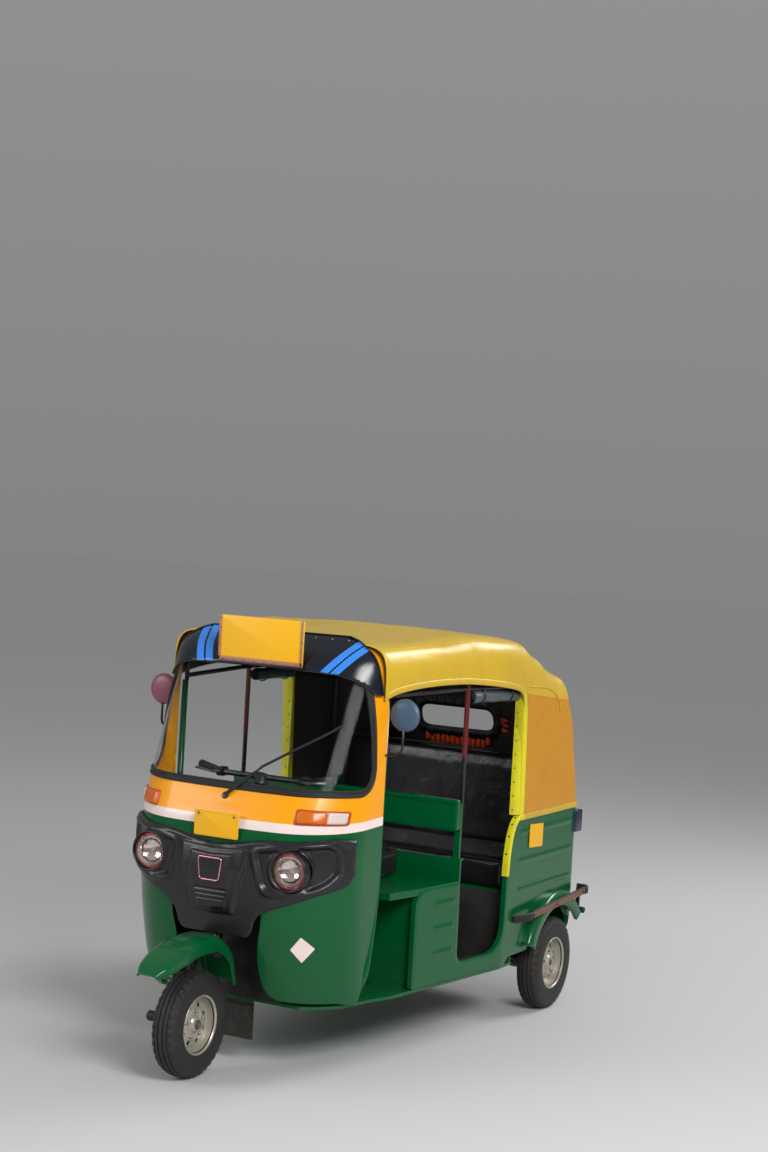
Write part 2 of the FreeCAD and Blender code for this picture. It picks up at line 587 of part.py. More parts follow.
def hood(inset):
    body = skinned([hood_loop(x, half, crown, inset) for x, half, crown in HOOD])
    corner = 60 - inset
    wide = 604 - inset
    plan = slab([(-1262 + inset, -wide), (600, -wide), (600, wide), (-1262 + inset, wide)], "plan", 700, 1800)
    back = [(x + inset, z) for x, z in HOOD_BACK]
    side = slab(back + [(-1070 + inset, 1530 - inset, 100 - inset, 6), (600, 1990), (600, 860)], "side", -700, 700)
    trimmed = body.common(plan).common(side)
    for turn in (1, -1):
        # Upright rounding of the rear corners, leaning with the back.
        lean = []
        for x, z in HOOD_BACK + [(-1076, 1520), (-1040, 1800)]:
            nook = [(x + inset - 40, turn * (wide + 40)), (x + inset - 40, turn * (wide - corner))]
            for k in range(5):
                a = math.pi / 2 * k / 4
                nook.append((x + inset + corner - corner * math.cos(a), turn * (wide - corner + corner * math.sin(a))))
            nook.append((x + inset + corner, turn * (wide + 40)))
            lean.append([V(u, v, z) for u, v in nook])
        trimmed = trimmed.cut(skinned(lean))
    return trimmed


CLOTH = 4.0
SEAM_Z = 1600.0
HEM = [(600, 1455), (492, 1455), (424, 1476), (318, 1489), (200, 1496), (30, 1500), (-130, 1496), (-350, 1477),
       (-520, 1452), (-574, 1440)]
QUARTER = [(-574, 1440), (-585, 1250), (-596, 1050), (-600, DECK_Z), (-600, 850)]
BACK_HEM = 886.0
hood_skin = hood(0).cut(hood(CLOTH))
SIDE_OPEN = slab(HEM + QUARTER[1:] + [(600, 850)], "side", -700, 700)
hood_skin = hood_skin.cut(SIDE_OPEN).cut(box(-1400, 700, -700, 700, 700, BACK_HEM))
ROOF_ZONE = slab([(600, 1590), (-350, 1600), (-560, 1580), (-740, 1500), (-900, 1425), (-1000, 1395), (-1300, 1375),
                  (-1300, 1800), (600, 1800)], "side", -700, 700)
canopy_roof = hood_skin.common(ROOF_ZONE)
hood_low = hood_skin.cut(ROOF_ZONE)
canopy_left = hood_low.common(box(-1400, 600, 500, 700, 700, 1800))
canopy_sides = both(canopy_left)
canopy_back = hood_low.common(box(-1400, -1000, -500, 500, 700, 1800))
WINDOW_Z = 1237.0
WINDOW_HALF = 195.0
WINDOW_TALL = 117.0
WINDOW = [(-WINDOW_HALF, WINDOW_Z - WINDOW_TALL / 2, 56, 5), (WINDOW_HALF, WINDOW_Z - WINDOW_TALL / 2, 56, 5),
          (WINDOW_HALF, WINDOW_Z + WINDOW_TALL / 2, 56, 5), (-WINDOW_HALF, WINDOW_Z + WINDOW_TALL / 2, 56, 5)]
pane_cut = slab(WINDOW, "front", -1400, -1000)
canopy_back = canopy_back.cut(pane_cut)
rear_window = hood(1).cut(hood(3)).common(pane_cut)

# Bows and rails under the hood
BOW_R = 10.0
BOWS = [
    # x, half width, crown z, foot z
    (441, 482, 1672, 1447),
    (-152, 550, 1688, PART_TOP),
    (-590, 590, 1642, DECK_Z),
    (-1000, 590, 1482, DECK_Z),
]
roof_frame = None
for bow_x, bow_half, bow_top, bow_foot in BOWS:
    half = bow_half - BOW_R - 8
    top = bow_top - BOW_R - 10
    path = [(bow_x, half, bow_foot), (bow_x, half, top - 78), (bow_x, half - 70, top - 14), (bow_x, 0, top),
            (bow_x, 70 - half, top - 14), (bow_x, -half, top - 78), (bow_x, -half, bow_foot)]
    bow = pipe(path, BOW_R, 6)
    roof_frame = bow if roof_frame is None else roof_frame.fuse(bow)
side_rail = pipe([(441, 462, 1466), (-152, 530, 1472), (-590, 570, 1462), (-1000, 570, 1380)], BOW_R, 6)
roof_frame = roof_frame.fuse(side_rail).fuse(mirror(side_rail))

ROLL_R = 28.0
curtain_rolls = both(pipe([(-196, 524, 1433), (-562, 558, 1426)], ROLL_R, 12))

# Mirrors on stalks from the door posts
MIRROR_Y = 562.0
MIRROR_Z = 1402.0
mirror_stalk = pipe([(463, NOSE_HALF, 1240), (463, NOSE_HALF + 30, 1240), (463, MIRROR_Y, 1262), (463, MIRROR_Y, MIRROR_Z)], 5, 6)
mirror_left = mirror_stalk.fuse(disc((452, MIRROR_Y, MIRROR_Z), AHEAD, 64, 20, 20))
mirrors = both(mirror_left)
mud_flap = box(700, 706, -100, 100, 100, FLOOR_Z - 12)
mud_flap = mud_flap.fuse(box(700, 722, -100, 100, FLOOR_Z - 24, FLOOR_Z - 12))

# Power unit and rear suspension
SHAFT_Y = 440.0
engine_block = box(-1130, -830, -210, 210, 250, 520)
mount_arm = box(-900, -860, 210, HOUSE_Y, 420, 460)
engine_block = engine_block.fuse(mount_arm).fuse(mirror(mount_arm))
exhaust = pipe([(-1185, -240, 290), (-1185, 180, 290)], 48, 16)
exhaust = exhaust.fuse(pipe([(-1185, 178, 290), (-1185, 230, 290), (-1240, 260, 262)], 15))
exhaust = exhaust.fuse(pipe([(-1125, -100, 300), (-1160, -100, 295)], 18)).cut(engine_block)
arm = pipe([(-640, SHAFT_Y, 290), (-820, SHAFT_Y, 250), (-AXLE_X, SHAFT_Y, TYRE_R)], 20, 6)
hub_carrier = disc((-AXLE_X, 418, TYRE_R), LEFT, 44, 528 - 418, 16)
rear_axle = rod((-AXLE_X, 520, TYRE_R), (-AXLE_X, 606, TYRE_R), AXLE_R)
arm_bracket = box(-665, -600, SHAFT_Y - 25, SHAFT_Y + 25, 262, 330)
damper = pipe([(-930, SHAFT_Y, 235), (-930, SHAFT_Y, 420)], 22, 10).fuse(
    pipe([(-930, SHAFT_Y, 420), (-930, SHAFT_Y, HOUSE_TOP + 4)], 11))
drive_shaft = pipe([(-AXLE_X, 206, 300), (-AXLE_X, 420, TYRE_R + 10)], 16, 6).cut(engine_block)
suspension_side = arm.fuse(hub_carrier).fuse(rear_axle).fuse(arm_bracket).fuse(damper).fuse(drive_shaft)
rear_suspension = both(suspension_side)

# Wheels: a tyre on a dished rim, with the hub and brake drum behind the dish
TYRE = [
    # radius, distance from the wheel's middle
    (103.3, 38), (114, 45.5), (150, 52), (188, 44), (TYRE_R, 16),
]
BORE_R = AXLE_R + RUN
WHEEL = [
    # radius, distance from the wheel's middle towards the dish
    (97, 47), (113, 47), (103, 40), (103, -40), (113, -47), (97, -47), (97, 3), (88, 6), (86, -38),
    (BORE_R, -38), (BORE_R, 32), (26, 32), (30, 20), (84, 14), (97, 10),
]
WHEEL_STEPS = 20
DISH_HOLES = 8


def tyre(centre):
    right = [(r, -y) for r, y in TYRE]
    return turned(TYRE + right[::-1], centre, WHEEL_STEPS)


def rim(centre, outward):
    # The bore's flats stand just clear of the round axle.
    cx, cy, cz = centre
    flats = 1 / math.cos(math.pi / WHEEL_STEPS)
    profile = [(r * flats if r == BORE_R else r, y * outward) for r, y in WHEEL]
    solid = turned(profile, centre, WHEEL_STEPS)
    for i in range(DISH_HOLES):
        a = 2 * math.pi * (i + 0.5) / DISH_HOLES
        start = (cx + 72 * math.cos(a), cy + 9 * outward, cz + 72 * math.sin(a))
        solid = solid.cut(disc(start, LEFT * outward, 9.5, 20, 6))
    return solid


WHEELS = [
    # name, wheel centre, side the dish faces
    ("front", (AXLE_X, 0.0, TYRE_R), 1),
    ("rear_left", (-AXLE_X, TRACK / 2, TYRE_R), 1),
    ("rear_right", (-AXLE_X, -TRACK / 2, TYRE_R), -1),
]

# Fork: column, bars, one leg on the right, link and damper
FORK_Y = -92.0
LEG_R = 15.0
CROWN_Z = 462.0
PIVOT = (886, FORK_Y, 262)
column = rod(tuple(steer_point(CROWN_Z)), tuple(steer_point(1125)), COLUMN_R)
crown = along_steer(CROWN_Z - 22, CROWN_Z + 16, 36)
leg = pipe([(steer_point(CROWN_Z).x, 0, CROWN_Z), (steer_point(CROWN_Z).x, FORK_Y, CROWN_Z - 20),
            (872, FORK_Y, 380), PIVOT], LEG_R)
pivot_boss = disc((PIVOT[0], FORK_Y - 26, PIVOT[2]), LEFT, 24, 44, 12)
link_arm = pipe([PIVOT, (AXLE_X, FORK_Y, TYRE_R)], 14)
front_axle = rod((AXLE_X, -100, TYRE_R), (AXLE_X, 36, TYRE_R), AXLE_R)
axle_sleeve = disc((AXLE_X, -150, TYRE_R), LEFT, 21, 106, 12)
front_fork = column.fuse(crown).fuse(leg).fuse(pivot_boss).fuse(link_arm).fuse(front_axle).fuse(axle_sleeve)
DAMPER_Y = FORK_Y - 42
front_damper = pipe([(982, DAMPER_Y, 222), (905, DAMPER_Y, 400)], 20, 10).fuse(
    pipe([(905, DAMPER_Y, 400), (880, DAMPER_Y, 448), (862, FORK_Y, 452)], 11))
front_damper = front_damper.cut(front_fork)
BAR_Z = 1105.0
BAR_HALF = 310.0
bar_x = steer_point(BAR_Z).x
handlebar = pipe([(bar_x - 40, -BAR_HALF, BAR_Z + 22), (bar_x, -190, BAR_Z + 6), (bar_x, 190, BAR_Z + 6),
                  (bar_x - 40, BAR_HALF, BAR_Z + 22)], 12)
handlebar = handlebar.fuse(disc(tuple(steer_point(BAR_Z - 14)), V(-math.sin(RAKE), 0, math.cos(RAKE)), 30, 46, 12))
handlebar = handlebar.cut(along_steer(1000, 1200, COLUMN_R + RUN, 24))

# Front mudguard: arched sheet over the wheel, narrowing to its tip
MUDGUARD = [
    # x, top z, half width, skirt depth
    (778, 338, 66, 28),
    (812, 440, 72, 44),
    (880, 514, 76, 56),
    (960, 546, 78, 60),
    (1060, 548, 78, 60),
    (1180, 520, 76, 54),
    (1270, 478, 66, 40),
    (FRONT, 444, 40, 12),
]
GUARD_T = 3.0


def guard_loop(index):
    x, z, half, skirt = MUDGUARD[index]
    near = MUDGUARD[max(index - 1, 0)]
    far = MUDGUARD[min(index + 1, len(MUDGUARD) - 1)]
    along = V(far[0] - near[0], 0, far[1] - near[1]).normalize()
    out = V(-along.z, 0, along.x)
    if index == len(MUDGUARD) - 1:
        out = UP
    arch_in = [(half, -skirt), (half, -skirt * 0.45 - 6), (half * 0.86, -9), (half * 0.5, -1.5)]
    outer = [(-y, n) for y, n in arch_in] + [(0, 0)] + arch_in[::-1]
    inner = []
    for y, n in arch_in:
        inner.append((y - GUARD_T if abs(y) > half * 0.8 else y, n - (GUARD_T if abs(y) < half * 0.9 else 0)))
    under = [(y, n) for y, n in inner] + [(0, -GUARD_T)] + [(-y, n) for y, n in inner[::-1]]
    return [V(x, 0, z) + LEFT * y + out * n for y, n in outer + under]


front_mudguard = skinned([guard_loop(i) for i in range(len(MUDGUARD))])
guard_stays = box(866, 890, -74, 74, CROWN_Z - 8, CROWN_Z + 4)
front_mudguard = front_mudguard.fuse(guard_stays).cut(front_fork).cut(along_steer(380, 700, COLUMN_R + 3))

NODES = {
    "floor_pan": floor_pan,
    "front_apron": front_apron,
    "waist_stripe": waist_stripe,
    "cowl": cowl,
    "windscreen_seal": windscreen_seal,
    "windscreen": windscreen,
    "wheel_recess": wheel_recess,
    "fascia": fascia,
    "headlamps": headlamps,
    "front_indicators": front_indicators,
    "front_plate": front_plate,
    "wiper": wiper,
    "dashboard": dashboard,
    "visor": visor,
    "sign_board": sign_board,
    "door_posts": door_posts,
    "side_panels": side_panels,
    "seat_box": seat_box,
    "driver_seat": driver_seat,
    "partition": partition,
    "driver_backrest": driver_backrest,
    "rear_sides": rear_sides,
    "back_panel": back_panel,
    "tail_lamps": tail_lamps,
    "wheel_houses": wheel_houses,
    "bench_base": bench_base,
    "passenger_seat": passenger_seat,
    "passenger_backrest": passenger_backrest,
    "backrest_frame": backrest_frame,
    "entry_sills": entry_sills,
    "rear_fenders": rear_fenders,
    "side_guards": side_guards,
    "rear_bumper": rear_bumper,
    "canopy_roof": canopy_roof,
    "canopy_sides": canopy_sides,
    "canopy_back": canopy_back,
    "rear_window": rear_window,
    "roof_frame": roof_frame,
    "curtain_rolls": curtain_rolls,
    "mirrors": mirrors,
    "mud_flap": mud_flap,
    "engine_block": engine_block,
    "exhaust": exhaust,
    "rear_suspension": rear_suspension,
    "engine_lid": engine_lid,
    "handlebar": handlebar,
    "front_fork": front_fork,
    "front_damper": front_damper,
    "front_mudguard": front_mudguard,
}
for name, centre, outward in WHEELS:
    NODES[name + "_tyre"] = tyre(centre)
    NODES[name + "_rim"] = rim(centre, outward)

# Where two fixed pieces meet, the second gives way to the first
SEATED = [
    ("roof_frame", "cowl"),
    ("roof_frame", "partition"),
    ("roof_frame", "door_posts"),
    ("roof_frame", "canopy_sides"),
    ("roof_frame", "canopy_roof"),
    ("roof_frame", "curtain_rolls"),
    ("canopy_roof", "cowl"),
    ("canopy_sides", "cowl"),
    ("canopy_roof", "visor"),
    ("canopy_sides", "visor"),
    ("canopy_sides", "partition"),
    ("partition", "entry_sills"),
    ("floor_pan", "door_posts"),
    ("rear_sides", "canopy_sides"),
    ("back_panel", "canopy_back"),
    ("back_panel", "canopy_sides"),
    ("door_posts", "cowl"),
    ("door_posts", "front_apron"),
    ("seat_box", "side_panels"),
    ("visor", "sign_board"),
    ("windscreen_seal", "visor"),
    ("windscreen_seal", "wiper"),
    ("fascia", "front_plate"),
    ("back_panel", "exhaust"),
    ("wheel_houses", "rear_suspension"),
    ("bench_base", "rear_suspension"),
    ("rear_fenders", "side_guards"),
]
for kept, trimmed in SEATED:
    NODES[trimmed] = NODES[trimmed].cut(NODES[kept])

os.makedirs("parts", exist_ok=True)
for name, shape in NODES.items():
    shape.exportStep("parts/" + name + ".step")
    bb = shape.BoundBox
    print("%-20s solids %2d  x %7.1f %7.1f  y %7.1f %7.1f  z %7.1f %7.1f  vol %8.3f l  valid %s" % (
        name, len(shape.Solids), bb.XMin, bb.XMax, bb.YMin, bb.YMax, bb.ZMin, bb.ZMax, shape.Volume / 1e6,
        shape.isValid()))
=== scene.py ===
import bmesh
import bpy
import json
import math
import numpy as np
from mathutils import Matrix, Vector, kdtree, noise


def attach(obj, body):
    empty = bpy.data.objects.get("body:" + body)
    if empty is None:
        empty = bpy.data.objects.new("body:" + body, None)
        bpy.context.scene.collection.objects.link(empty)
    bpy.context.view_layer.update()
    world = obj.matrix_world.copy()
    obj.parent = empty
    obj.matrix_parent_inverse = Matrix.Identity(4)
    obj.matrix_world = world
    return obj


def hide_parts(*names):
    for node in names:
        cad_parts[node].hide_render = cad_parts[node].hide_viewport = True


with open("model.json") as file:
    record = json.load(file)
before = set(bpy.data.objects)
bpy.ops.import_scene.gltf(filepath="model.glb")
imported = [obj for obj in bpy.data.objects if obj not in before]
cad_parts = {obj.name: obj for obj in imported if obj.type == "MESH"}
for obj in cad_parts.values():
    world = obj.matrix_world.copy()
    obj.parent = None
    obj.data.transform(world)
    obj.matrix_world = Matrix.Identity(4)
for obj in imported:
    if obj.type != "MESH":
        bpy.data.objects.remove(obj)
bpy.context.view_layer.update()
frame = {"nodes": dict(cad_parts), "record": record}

# The camera stands ahead and to the left of the vehicle, a little above its roof, as in the photograph.
YAW, PITCH, ROLL = 0.492345, -0.039895, 0.057505
ahead = Vector((-math.cos(YAW) * math.cos(PITCH), -math.sin(YAW) * math.cos(PITCH), math.sin(PITCH)))
level = Vector((-math.sin(YAW), math.cos(YAW), 0))
upright = level.cross(ahead)
right = math.cos(ROLL) * level + math.sin(ROLL) * upright
above = math.cos(ROLL) * upright - math.sin(ROLL) * level
camera = bpy.data.objects.new("camera", bpy.data.cameras.new("camera"))
bpy.context.scene.collection.objects.link(camera)
camera.matrix_world = Matrix((
    (right.x, above.x, -ahead.x, 8.02663),
    (right.y, above.y, -ahead.y, 4.494523),
    (right.z, above.z, -ahead.z, 2.279193),
    (0, 0, 0, 1)))
camera.data.sensor_width = 36
camera.data.lens = 68.94
camera.data.clip_end = 100
bpy.context.scene.camera = camera
bpy.context.scene.view_settings.view_transform = "Standard"


# Studio: a flat matt grey floor under a pale sky, a large soft key light ahead on the left, a weaker one
# ahead on the right and one behind, so that every side of the paint has something to reflect.
def show(name, mesh):
    thing = bpy.data.objects.new(name, mesh)
    bpy.context.scene.collection.objects.link(thing)
    return thing


def add_mesh(name, points, faces):
    # Smooth mesh object from points in millimetres.
    mesh = bpy.data.meshes.new(name)
    points = [tuple(float(c) for c in p) for p in np.array(points, float) / 1000]
    mesh.from_pydata(points, [], [tuple(int(i) for i in f) for f in faces])
    mesh.validate()
    mesh.shade_smooth()
    return show(name, mesh)


def feed(socket, value):
    # Sets an input, or links it where the value is another node's output.
    if isinstance(value, bpy.types.NodeSocket):
        socket.id_data.links.new(value, socket)
    else:
        socket.default_value = value


def add_node(tree, kind, *first, **values):
    # A node of that kind. Inputs are given in order or by name, where underscores stand for spaces,
    # and the node's own settings by their small letters.
    made = tree.nodes.new("ShaderNode" + kind)
    for label, value in values.items():
        if label[0].islower():
            setattr(made, label, value)
    for socket, value in zip(made.inputs, first):
        feed(socket, value)
    for label, value in values.items():
        if label[0].isupper():
            feed(made.inputs[label.replace("_", " ")], value)
    return made


def shader(name, **own):
    # A new node material with inputs of its Principled node; returns the material, its tree and that node.
    made = bpy.data.materials.new(name)
    made.use_nodes = True
    surface = made.node_tree.nodes["Principled BSDF"]
    for label, value in own.items():
        surface.inputs[label.replace("_", " ")].default_value = value
    return made, made.node_tree, surface


def tint(red, green, blue):
    # Linear colour from the 0-255 values of a screen colour.
    return tuple((c / 255 / 12.92) if c <= 10 else ((c / 255 + 0.055) / 1.055) ** 2.4
                 for c in (red, green, blue)) + (1,)


floor_shader, tree, surface = shader("studio floor", Base_Color=(0.56, 0.56, 0.56, 1), Roughness=0.75)
grain = add_node(tree, "TexNoise", Scale=40)
relief = add_node(tree, "Bump", Strength=0.05, Height=grain.outputs["Fac"])
feed(surface.inputs["Normal"], relief.outputs["Normal"])
floor = add_mesh("studio_floor", [(-4e4, -4e4, 0), (4e4, -4e4, 0), (4e4, 4e4, 0), (-4e4, 4e4, 0)],
                 [(0, 1, 2, 3)])
floor.data.materials.append(floor_shader)

world = bpy.data.worlds.new("studio")
bpy.context.scene.world = world
world.use_nodes = True
tree = world.node_tree
sky = tree.nodes["Background"]
split = add_node(tree, "SeparateXYZ", add_node(tree, "TexCoord").outputs["Generated"])
fade = add_node(tree, "MapRange", Value=split.outputs["Z"], From_Min=-0.1, From_Max=0.8, To_Min=0.5,
                To_Max=0.95)
feed(sky.inputs["Color"], fade.outputs["Result"])
sky.inputs["Strength"].default_value = 0.43


def add_light(name, place, aim, size, power):
    data = bpy.data.lights.new(name, "AREA")
    data.shape = "RECTANGLE"
    data.size, data.size_y = size
    data.energy = power
    lamp = show(name, data)
    lamp.location = place
    lamp.rotation_mode = "QUATERNION"
    lamp.rotation_quaternion = (Vector(aim) - Vector(place)).to_track_quat("-Z", "Y")


add_light("key_light", (3.6, 4.6, 4.2), (0, 0, 0.8), (2.6, 2.0), 320)
add_light("fill_light", (5.0, -4.0, 3.0), (0, 0, 0.8), (3.0, 2.0), 115)
add_light("back_light", (-5.0, 3.0, 4.5), (0, 0, 0.9), (3.0, 1.5), 190)


# Road dust and fine wear, shared by the paints: a group that mixes dust into a colour near the ground and
# in a fine noise, and puts out the colour, a roughness and a slightly rippled normal.
def new_group(name, inputs, outputs):
    tree = bpy.data.node_groups.new(name, "ShaderNodeTree")
    for label, kind, value in inputs:
        socket = tree.interface.new_socket(label, in_out="INPUT", socket_type="NodeSocket" + kind)
        socket.default_value = value
    for label, kind in outputs:
        tree.interface.new_socket(label, in_out="OUTPUT", socket_type="NodeSocket" + kind)
    return tree, tree.nodes.new("NodeGroupInput"), tree.nodes.new("NodeGroupOutput")


wear, given, result = new_group("dust and wear",
                                [("Colour", "Color", (0.5, 0.5, 0.5, 1)),
                                 ("Dust colour", "Color", (0.34, 0.27, 0.19, 1)), ("Dust", "Float", 0.25),
                                 ("Dust height", "Float", 0.75), ("Gloss", "Float", 0.25),
                                 ("Ripple", "Float", 0.03)],
                                [("Colour", "Color"), ("Roughness", "Float"), ("Normal", "Vector")])
place = add_node(wear, "TexCoord").outputs["Object"]
blotch = add_node(wear, "TexNoise", Vector=place, Scale=7.0, Detail=8.0, Roughness=0.65).outputs["Fac"]
speck = add_node(wear, "TexNoise", Vector=place, Scale=90.0, Detail=4.0, Roughness=0.6).outputs["Fac"]
wave = add_node(wear, "TexNoise", Vector=place, Scale=3.5, Detail=2.0).outputs["Fac"]
low_down = add_node(wear, "MapRange", Value=add_node(wear, "SeparateXYZ", place).outputs["Z"],
                    From_Max=given.outputs["Dust height"], To_Min=1.0, To_Max=0.0)
patchy = add_node(wear, "MapRange", Value=blotch, From_Min=0.35, From_Max=0.75)
fine = add_node(wear, "MapRange", Value=speck, From_Min=0.45, From_Max=0.7, To_Min=0.35, To_Max=1.0)
share = add_node(wear, "Math", low_down.outputs[0], patchy.outputs[0], operation="MULTIPLY")
share_fine = add_node(wear, "Math", share.outputs[0], fine.outputs[0], operation="MULTIPLY")
amount = add_node(wear, "Math", share_fine.outputs[0], given.outputs["Dust"],
                  operation="MULTIPLY").outputs[0]
mix = add_node(wear, "Mix", data_type="RGBA", Factor=amount, A=given.outputs["Colour"],
               B=given.outputs["Dust colour"])
rough = add_node(wear, "MapRange", Value=amount, To_Min=given.outputs["Gloss"], To_Max=0.75)
haze = add_node(wear, "MapRange", Value=blotch, From_Min=0.3, From_Max=0.8, To_Min=-0.04, To_Max=0.09)
sum_rough = add_node(wear, "Math", rough.outputs[0], haze.outputs[0], operation="ADD")
bump = add_node(wear, "Bump", Distance=0.02, Height=wave, Strength=given.outputs["Ripple"])
feed(result.inputs["Colour"], mix.outputs["Result"])
feed(result.inputs["Roughness"], sum_rough.outputs[0])
feed(result.inputs["Normal"], bump.outputs["Normal"])


def worn(name, colour, gloss, dust, ripple=0.03, height=0.75, **own):
    # A painted or moulded finish that runs through the wear group; own gives inputs of its Principled node.
    made, tree, surface = shader(name, **own)
    group = add_node(tree, "Group", node_tree=wear, Colour=colour, Dust=dust, Dust_height=height,
                     Gloss=gloss, Ripple=ripple)
    for label, output in (("Base Color", "Colour"), ("Roughness", "Roughness"), ("Normal", "Normal")):
        feed(surface.inputs[label], group.outputs[output])
    return made


# Nose shell: pressed steel sheet that wraps from post to post. Its level sections are a shallow bow with
# round corners; a smooth curve through the same table as the sheet's shape gives the surface between them.
NOSE = np.array([
    # height, front x, half width, corner radius, in millimetres
    (250, 780, 462, 290), (340, 812, 470, 290), (480, 846, 478, 290), (620, 868, 484, 290),
    (820, 882, 490, 288), (960, 872, 490, 285), (1050, 842, 490, 280), (1300, 728, 490, 240),
    (1560, 608, 488, 195), (1610, 578, 478, 170), (1645, 540, 450, 130), (1680, 494, 396, 90)], float)
BOW = 2300.0


def follow(rows, at):
    # Smooth curve through rows of (position, values...), without overshoot.
    x, y = rows[:, 0], rows[:, 1:]
    step = np.diff(x)[:, None]
    rise = np.diff(y, axis=0) / step
    slope = np.zeros_like(y)
    product = rise[1:] * rise[:-1]
    safe = np.where(product > 0, rise[1:] + rise[:-1], 1)
    slope[1:-1] = np.where(product > 0, 2 * product / safe, 0)
    slope[0], slope[-1] = rise[0], rise[-1]
    k = np.clip(np.searchsorted(x, at) - 1, 0, len(x) - 2)
    t = ((at - x[k]) / (x[k + 1] - x[k]))[:, None]
    h = (x[k + 1] - x[k])[:, None]
    return ((2 * t ** 3 - 3 * t ** 2 + 1) * y[k] + (t ** 3 - 2 * t ** 2 + t) * h * slope[k]
            + (3 * t ** 2 - 2 * t ** 3) * y[k + 1] + (t ** 3 - t ** 2) * h * slope[k + 1])


def nose_parts(z):
    front, half, corner = follow(NOSE, np.asarray(z, float)).T
    cy = half - corner
    fx = front - BOW
    cx = fx + np.sqrt((BOW - corner) ** 2 - cy ** 2)
    turn = np.arctan2(cy, cx - fx)
    return half, corner, cy, fx, cx, turn


def nose_bare(s, z):
    # Points on the nose at distance s round from the middle, and height z.
    half, corner, cy, fx, cx, turn = nose_parts(z)
    a = np.abs(s)
    bow_end = BOW * turn
    side = bow_end + corner * (np.pi / 2 - turn)
    on_bow = a / BOW
    on_corner = turn + (a - bow_end) / corner
    x = np.where(a < bow_end, fx + BOW * np.cos(on_bow),
                 np.where(a < side, cx + corner * np.cos(on_corner), cx - (a - side)))
    y = np.where(a < bow_end, BOW * np.sin(on_bow),
                 np.where(a < side, cy + corner * np.sin(on_corner), half))
    return np.stack([x, np.sign(s + 1e-12) * y, z + 0 * x], 1)


def nose_surface(s, z, proud):
    p = nose_bare(s, z)
    along = nose_bare(s + 0.5, z) - nose_bare(s - 0.5, z)
    up = nose_bare(s, z + 0.5) - nose_bare(s, z - 0.5)
    normal = np.cross(along, up)
    normal /= np.linalg.norm(normal, axis=1)[:, None]
    return p + normal * np.reshape(proud, (-1, 1))


def s_by_y(y, z):
    half, corner, cy, fx, cx, turn = (v[0] for v in nose_parts([z]))
    a = abs(y)
    if a < BOW * math.sin(turn):
        s = BOW * math.asin(a / BOW)
    else:
        s = BOW * turn + corner * (math.asin(min((a - cy) / corner, 1)) - turn)
    return math.copysign(s, y)


def s_by_x(x, z):
    half, corner, cy, fx, cx, turn = (v[0] for v in nose_parts([z]))
    side = BOW * turn + corner * (math.pi / 2 - turn)
    if x < cx:
        return side + cx - x
    if x < cx + corner * math.cos(turn):
        return BOW * turn + corner * (math.acos((x - cx) / corner) - turn)
    return BOW * math.acos(min((x - fx) / BOW, 1))


def dense(points, step=6.0):
    # The same closed line with points about one step apart.
    points = [np.array(p, float) for p in points]
    result = []
    for a, b in zip(points, points[1:] + points[:1]):
        count = max(1, int(np.linalg.norm(b - a) / step))
        result += [a + (b - a) * i / count for i in range(count)]
    return np.array(result)


def inside(points, loops):
    # Whether each point lies inside the outlines, holes counted out.
    hit = np.zeros(len(points), int)
    for loop in loops:
        a, b = loop, np.roll(loop, -1, axis=0)
        for (ax, ay), (bx, by) in zip(a, b):
            if ay == by:
                continue
            crossing = ((ay > points[:, 1]) != (by > points[:, 1]))
            at = ax + (points[:, 1] - ay) * (bx - ax) / (by - ay)
            hit += crossing & (points[:, 0] < at)
    return hit % 2 == 1


def onto(points, loops):
    # Nearest point of the outlines to each point.
    best = np.full(len(points), 1e18)
    found = points.copy()
    for loop in loops:
        a, b = loop, np.roll(loop, -1, axis=0)
        for p, q in zip(a, b):
            d = q - p
            t = np.clip(((points - p) @ d) / max(d @ d, 1e-12), 0, 1)
            near = p + t[:, None] * d
            far = ((points - near) ** 2).sum(1)
            better = far < best
            best[better] = far[better]
            found[better] = near[better]
    return found


